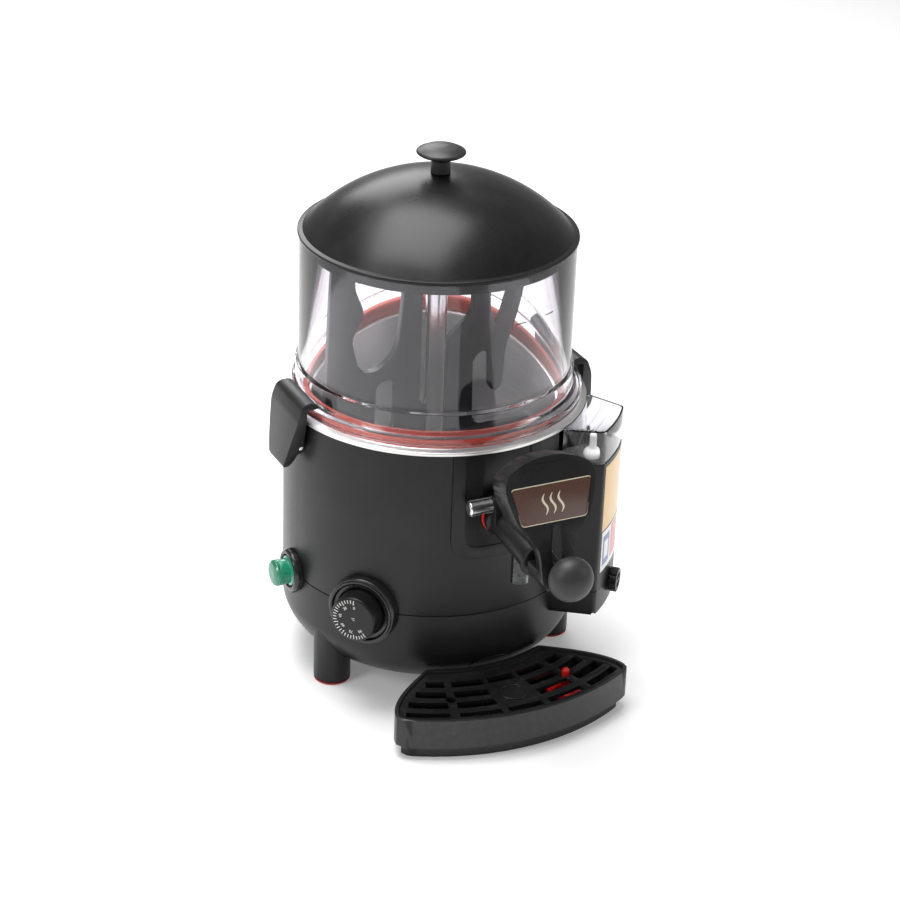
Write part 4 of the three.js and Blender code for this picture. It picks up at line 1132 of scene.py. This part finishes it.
# ---------------------------------------------------------------------------
# Hood: a shield-shaped black cover in front of the tap, open at the back, with a
# slot for the lever. A short neck joins its leg to the tap's end cap, and it leans back.
# ---------------------------------------------------------------------------
HOOD_OUT, HOOD_Z, HOOD_LENGTH, HOOD_DEPTH, LEG_DEPTH = 241, 173, 107.7, 23, 9
HOOD_LEAN = math.radians(17)
HOOD_HALF = [(11, 0), (15, 5), (15, 32), (21.5, 42), (32, 55.5), (39.2, 78), (40, 89), (36, 97.5),
             (22, 104.5), (8, HOOD_LENGTH)]
hood_here = (facing(0, HOOD_Z) @ Matrix.Translation(Vector((0, 0, HOOD_OUT)) * mm)
             @ Matrix.Rotation(-HOOD_LEAN, 4, "X"))


def hood_outline(inset=0.0):
    half = []
    for i, (x, v) in enumerate(HOOD_HALF):
        drop = inset if i == 0 else -inset if i >= len(HOOD_HALF) - 3 else 0
        half.append((max(x - inset * 0.9, 2), v + drop))
    mirrored = [(-x, v) for x, v in reversed(half)]
    return eased(half + mirrored, [2, 4, 9, 14, 30, 12, 6, 10, 22, 20] + [20, 22, 10, 6, 12, 30, 14,
                                                                        9, 4, 2], closed=True, steps=5)


LABEL_CORNERS = [(-28.5, 54.5), (28.5, 54.5), (35.3, 85.5), (-35.3, 85.5)]


def label_outline(extra):
    corners = [(x + math.copysign(extra, x), v + (extra if v > 70 else -extra))
               for x, v in LABEL_CORNERS]
    return eased(corners, 3, closed=True, steps=5)


hood = plate("hood_moulding", hood_outline(), -HOOD_DEPTH, 0, hood_here)
side_profile = eased([(4, -4), (4, 112), (-HOOD_DEPTH, 112), (-HOOD_DEPTH, 62), (-LEG_DEPTH, 30),
                      (-LEG_DEPTH, -4)], [0, 0, 0, 12, 12, 0], closed=True)
worked(hood, plate("tool", side_profile, -50, 50, side_on(0) @ Matrix.Translation(
    Vector((HOOD_OUT, HOOD_Z, 0)) * mm) @ Matrix.Rotation(HOOD_LEAN, 4, "Z")), "INTERSECT")
softened(hood, 2.2, 4, 50)
worked(hood, plate("tool", hood_outline(2.5), -HOOD_DEPTH - 1, -2.5, hood_here))
slot_outline = eased([(-4.7, 5.2), (4.7, 5.2), (4.7, 51), (-4.7, 51)], 1.4, closed=True)
worked(hood, plate("tool", slot_outline, -5, 3, hood_here))
worked(hood, plate("tool", label_outline(0.35), -0.9, 1, hood_here))
neck = plate("tool", [(-11, -238.6), (11, -238.6), (11, -204.5), (-11, -204.5)], 170.2, 181.8,
             ease=1.5)
worked(hood, neck, "UNION")
seam_line = plate("tool", [(-15, 102.2), (15, 102.2), (15, 103), (-15, 103)], -0.5, 1, hood_here)
worked(hood, seam_line)
finished(hood, satin_black, "housing", "black_plastic", "hood")

# The name plate is left plain: brown print with a pale line and three wisps of steam.
brown_print = plastic("brown_print", (0.075, 0.026, 0.013), 0.3, grain=500, depth=0.02, wear=0,
                      coat=0.5, dust=0.03)
cream_print = plastic("cream_print", (0.72, 0.66, 0.48), 0.4, grain=800, depth=0.01, wear=0, dust=0)
label = plate("label_plate_print", label_outline(0), -0.6, 0.2, hood_here, ease=0.15)
finished(label, brown_print, "housing", "label", "label_plate")
rim = plate("label_rim", label_outline(0.3), -0.6, 0.28, hood_here, ease=0.1)
worked(rim, plate("tool", label_outline(-0.35), -2, 2, hood_here))
finished(rim, cream_print, "housing", "label")


def wisp(middle, width, height, shift):
    """One wisp of steam: a wavy ribbon standing on the plate."""
    left, right = [], []
    for i in range(21):
        t = i / 20
        x = middle + shift * math.sin(2 * math.pi * t)
        half = width * (0.25 + 0.75 * math.sin(math.pi * t)) / 2
        y = 61 + height * t
        left.append((x - half, y))
        right.append((x + half, y))
    return left[::-1] + right


for i, middle in enumerate((-7, 0, 7)):
    steam = plate(f"label_steam_{i + 1}", wisp(middle, 2.2, 17, 1.9), 0.15, 0.28, hood_here)
    finished(steam, cream_print, "housing", "label")

# ---------------------------------------------------------------------------
# Water box: a black tank beside the body whose outer wall follows the body's
# round. It feeds the water jacket, and a clear lid with a float closes it.
# ---------------------------------------------------------------------------
BOX_BOTTOM, BOX_TOP, CAP_TOP = 92.2, 213.5, 244.5
box = plate("water_box_moulding", box_outline(), BOX_BOTTOM, BOX_TOP, ease=0.8)
worked(box, plate("tool", box_outline(2.5), 95, BOX_TOP + 10))
worked(box, body_tool(FIT, 80, 230))
back_wall = ring_tool(BODY_R + FIT, BODY_R + 2.85, BOX_BOTTOM, BOX_TOP)
worked(back_wall, plate("tool", box_outline(0.2), BOX_BOTTOM, BOX_TOP), "INTERSECT")
worked(box, back_wall, "UNION")
finished(box, satin_black, "housing", "black_plastic", "water_box")

clear_box = clear_plastic("clear_lid", (0.93, 0.925, 0.95), 0.03, 0.2)
cap = plate("water_cap_moulding", box_outline(0.2), BOX_TOP + 0.35, CAP_TOP)
softened(cap, 1.6, 3, 60)
worked(cap, plate("tool", box_outline(2.2), BOX_TOP - 5, CAP_TOP - 2.2))
worked(cap, body_tool(1.1, 200, 260))
cap_back = ring_tool(BODY_R + 1.1, BODY_R + 3.1, BOX_TOP + 0.35, CAP_TOP - 1)
worked(cap_back, plate("tool", box_outline(1), BOX_TOP, CAP_TOP - 1), "INTERSECT")
worked(cap, cap_back, "UNION")
for r, low_z, high_z in ((143, CAP_TOP - 3.4, CAP_TOP - 1), (151, CAP_TOP - 3.4, CAP_TOP - 1)):
    rib = ring_tool(r, r + 1.2, low_z, high_z)
    worked(rib, plate("tool", box_outline(6), 200, 260), "INTERSECT")
    worked(cap, rib, "UNION")
finished(cap, clear_box, "box_lid", "clear_plastic", "water_cap")

float_low, float_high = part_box("level_float")
float_here = upright_at(float_low, float_high)
f_low, f_high = float_low.z / mm, float_high.z / mm
level = turned("level_float_moulding", eased([
    (0, f_low), (6.6, f_low), (7.8, f_low + 2), (7.8, f_low + 5), (6.2, f_low + 7),
    (3.4, f_low + 8.2), (3, f_low + 10), (3, f_high - 2), (2.6, f_high), (0, f_high),
], 1.2, steps=3), float_here, facets=64)
finished(level, white_nylon, "box_float", "white_plastic", "level_float")


def sticker(name, colour, from_beta, to_beta, low, high, lift=0.12):
    """A thin printed film that follows the box's curved wall."""
    bm = bmesh.new()
    steps = 20
    rows = []
    for i in range(steps + 1):
        beta = from_beta + (to_beta - from_beta) * i / steps
        rows.append([bm.verts.new((*((polar(BOX_OUTER_R + r, beta)) * mm), z * mm))
                     for r in (0.02, lift) for z in (low, high)])
    for a, b in zip(rows, rows[1:]):
        for first, second in ((0, 1), (1, 3), (3, 2), (2, 0)):
            bm.faces.new((a[first], a[second], b[second], b[first]))
    bm.faces.new((rows[0][0], rows[0][2], rows[0][3], rows[0][1]))
    bm.faces.new((rows[-1][0], rows[-1][1], rows[-1][3], rows[-1][2]))
    bm.transform(Matrix.Translation(axis))
    finished(built(name, bm), colour, "housing", "label")


def film_print(name, colour):
    return plastic(name, colour, 0.32, grain=600, depth=0.015, wear=0, coat=0.4)


yellow_film = film_print("yellow_film", (0.78, 0.47, 0.13))
white_film = film_print("white_film", (0.8, 0.8, 0.8))
blue_film = film_print("blue_film", (0.055, 0.1, 0.33))
red_film = film_print("red_film", (0.62, 0.09, 0.06))
sticker("box_film_yellow", yellow_film, 37.2, 53.4, 148, 209.5)
sticker("box_film_white", white_film, 37.6, 53.4, 108, 146.5)
sticker("box_film_blue", blue_film, 38.6, 44.2, 113, 141.5, 0.16)
sticker("box_film_blue_centre", white_film, 39.8, 43.0, 119, 135.5, 0.2)
sticker("box_film_red", red_film, 45.4, 52.6, 113, 144.5, 0.16)

# Drain cap: a ribbed screw cap on the outer wall, over the seam.
DRAIN_BETA, DRAIN_Z = 48.5, 87
drain_here = facing(DRAIN_BETA, DRAIN_Z) @ Matrix.Translation(Vector((0, 0, BOX_OUTER_R)) * mm)
scallops = []
for i in range(96):
    turn = 2 * math.pi * i / 96
    radius = 10.6 - 0.9 * (0.5 - 0.5 * math.cos(12 * turn)) ** 2
    scallops.append((radius * math.cos(turn), radius * math.sin(turn)))
drain = plate("drain_cap_moulding", scallops, 0.5, 7.5, drain_here, ease=0.9)
worked(drain, turned("tool", eased([(0, 6.4), (6.6, 6.4), (7.2, 8.4), (0, 8.4)], 0.5), drain_here,
                     facets=64))
grip = plate("tool", eased([(-6.4, -1.3), (6.4, -1.3), (6.4, 1.3), (-6.4, 1.3)], 0.8, closed=True),
             5, 7.4, drain_here, ease=0.4)
worked(drain, grip, "UNION")
finished(drain, satin_black, "drain", "black_plastic", "drain_cap")

# Cable gland: a tapered black nipple low on the back, where the mains lead leaves.
gland_here = facing(180, 74)
gland = turned("cable_gland_moulding", eased([
    (4, 120), (10.5, 120), (10.5, 132), (9.6, 133), (9.6, 136.6), (7.4, 138), (7, 144), (4, 144),
], 0.6, closed=True), gland_here, closed=True, facets=64)
for z in (138.6, 140.4, 142.2):
    worked(gland, turned("tool", [(6.4, z), (12, z), (12, z + 0.7), (6.4, z + 0.7)], gland_here,
                         closed=True, facets=64))
worked(gland, body_tool(FIT, 50, 91))
finished(gland, satin_black, "housing", "black_plastic", "cable_gland")

# ---------------------------------------------------------------------------
# Drip tray: a shield-shaped black tray with a plain tall rim and a narrower basin
# below. It slides under the spout and pulls out towards the user.
# ---------------------------------------------------------------------------
TRAY_FRONT_R, TRAY_BACK_R, TRAY_TOP, RIM_BOTTOM = 206.5, 124, 38, 11.5


def tray_side(r):
    bend = 0.0021 if r < 186 else 0.0037
    return 33.2 - bend * (r - 186) ** 2


def tray_outline(inset, back=None):
    """The tray from above: two bowed sides and a front arc about the machine's axis."""
    back = TRAY_BACK_R + inset if back is None else back
    front = TRAY_FRONT_R - inset

    def edge(r):
        return tray_side(r) - math.degrees(inset / r)

    right = [polar(back + (front - 3 - back) * i / 24, edge(back + (front - 3 - back) * i / 24))
             for i in range(25)]
    arc = [polar(front, (edge(front) - 1.2) * (1 - i / 24)) for i in range(49)]
    left = [Vector((-point.x, point.y)) for point in reversed(right)]
    behind = [polar(back, edge(back) * (i / 10 - 1)) for i in range(1, 20)]
    return right + arc + left + behind


tray = plate("drip_tray_moulding", tray_outline(0), RIM_BOTTOM, TRAY_TOP, ease=1.2)
worked(tray, plate("tool", tray_outline(6), 0, 12.5, ease=0.8), "UNION")
worked(tray, plate("tool", tray_outline(3, 129.25), 32.65, 45))
worked(tray, plate("tool", tray_outline(6.5, 132.6), 14, 45))
worked(tray, plate("tool", tray_outline(8.5), 2.5, 20))
tray_black = plastic("tray_black", (0.013, 0.013, 0.0142), 0.42, grain=2200, depth=0.04, wear=0.3)
finished(tray, tray_black, "tray", "black_plastic", "drip_tray")

# ---------------------------------------------------------------------------
# Drip grid: a loose plate with rows of slots between rounded ribs, a raised ring
# where the cup stands and two holes, one of them for the red level float.
# ---------------------------------------------------------------------------
GRID_TOP, GRID_BOTTOM, GRID_BACK_R = 36.5, 33, 129.6
GRID_ROWS = [(142.5, 151.5, 25.5), (158.5, 168, 28.4), (175, 184.5, 30), (191.5, 198.5, 30.2)]
GRID_COLUMNS = [(-31, -19.3), (-17, -6.3), (-4.7, 4.7), (6.3, 17), (19.3, 31)]
grid = plate("drip_grid_moulding", tray_outline(3.35, GRID_BACK_R), GRID_BOTTOM, GRID_TOP, ease=0.4)
for row, (inner, outer, limit) in enumerate(GRID_ROWS):
    for column, (start, end) in enumerate(GRID_COLUMNS):
        if column == 2 and row in (1, 2):
            continue
        start, end = max(start, -limit), min(end, limit)
        far = [polar(outer, start + (end - start) * i / 12) for i in range(13)]
        near = [polar(inner, start + (end - start) * i / 12) for i in range(12, -1, -1)]
        corners = [0] * 26
        corners[0] = corners[12] = corners[13] = corners[25] = 1.6
        slot = plate("tool", eased(far + near, corners, closed=True, steps=3), 20, 50)
        worked(grid, slot)
CUP_RING_OUT = 171
FLOAT_SPOT = polar(CUP_RING_OUT, 18.4)
for side in (-1, 1):
    spot = Matrix.Translation(axis + Vector((side * FLOAT_SPOT.x, FLOAT_SPOT.y, 0)) * mm)
    worked(grid, disc_tool(4.5, 20, 50, spot, 48))
softened(grid, 0.9, 3, 60)
ring_spot = Matrix.Translation(axis + Vector((0, -CUP_RING_OUT, 0)) * mm)
cup_ring = turned("tool", eased([(10, 36), (12.2, 36), (12.2, 37.5), (10, 37.5)], 0.6,
                                closed=True), ring_spot, closed=True, facets=72)
worked(grid, cup_ring, "UNION")
finished(grid, gloss_black, "tray_grid", "black_plastic", "drip_grid")

red_float = plastic("red_float", (0.62, 0.008, 0.006), 0.25, grain=900, depth=0.02, wear=0, coat=0.3,
                    dust=0.02)
spot = Matrix.Translation(axis + Vector((FLOAT_SPOT.x, FLOAT_SPOT.y, 0)) * mm)
tray_float = turned("tray_float_moulding", eased([
    (0, 20), (15.4, 20), (16, 20.6), (16, 24.4), (15.4, 25), (3.6, 26.4), (3.4, 27), (3.4, 40.3),
    (2.4, 42), (0, 42.5),
], 0.8, steps=3), spot, facets=64)
finished(tray_float, red_float, "tray_indicator", "red_plastic", "tray_float")
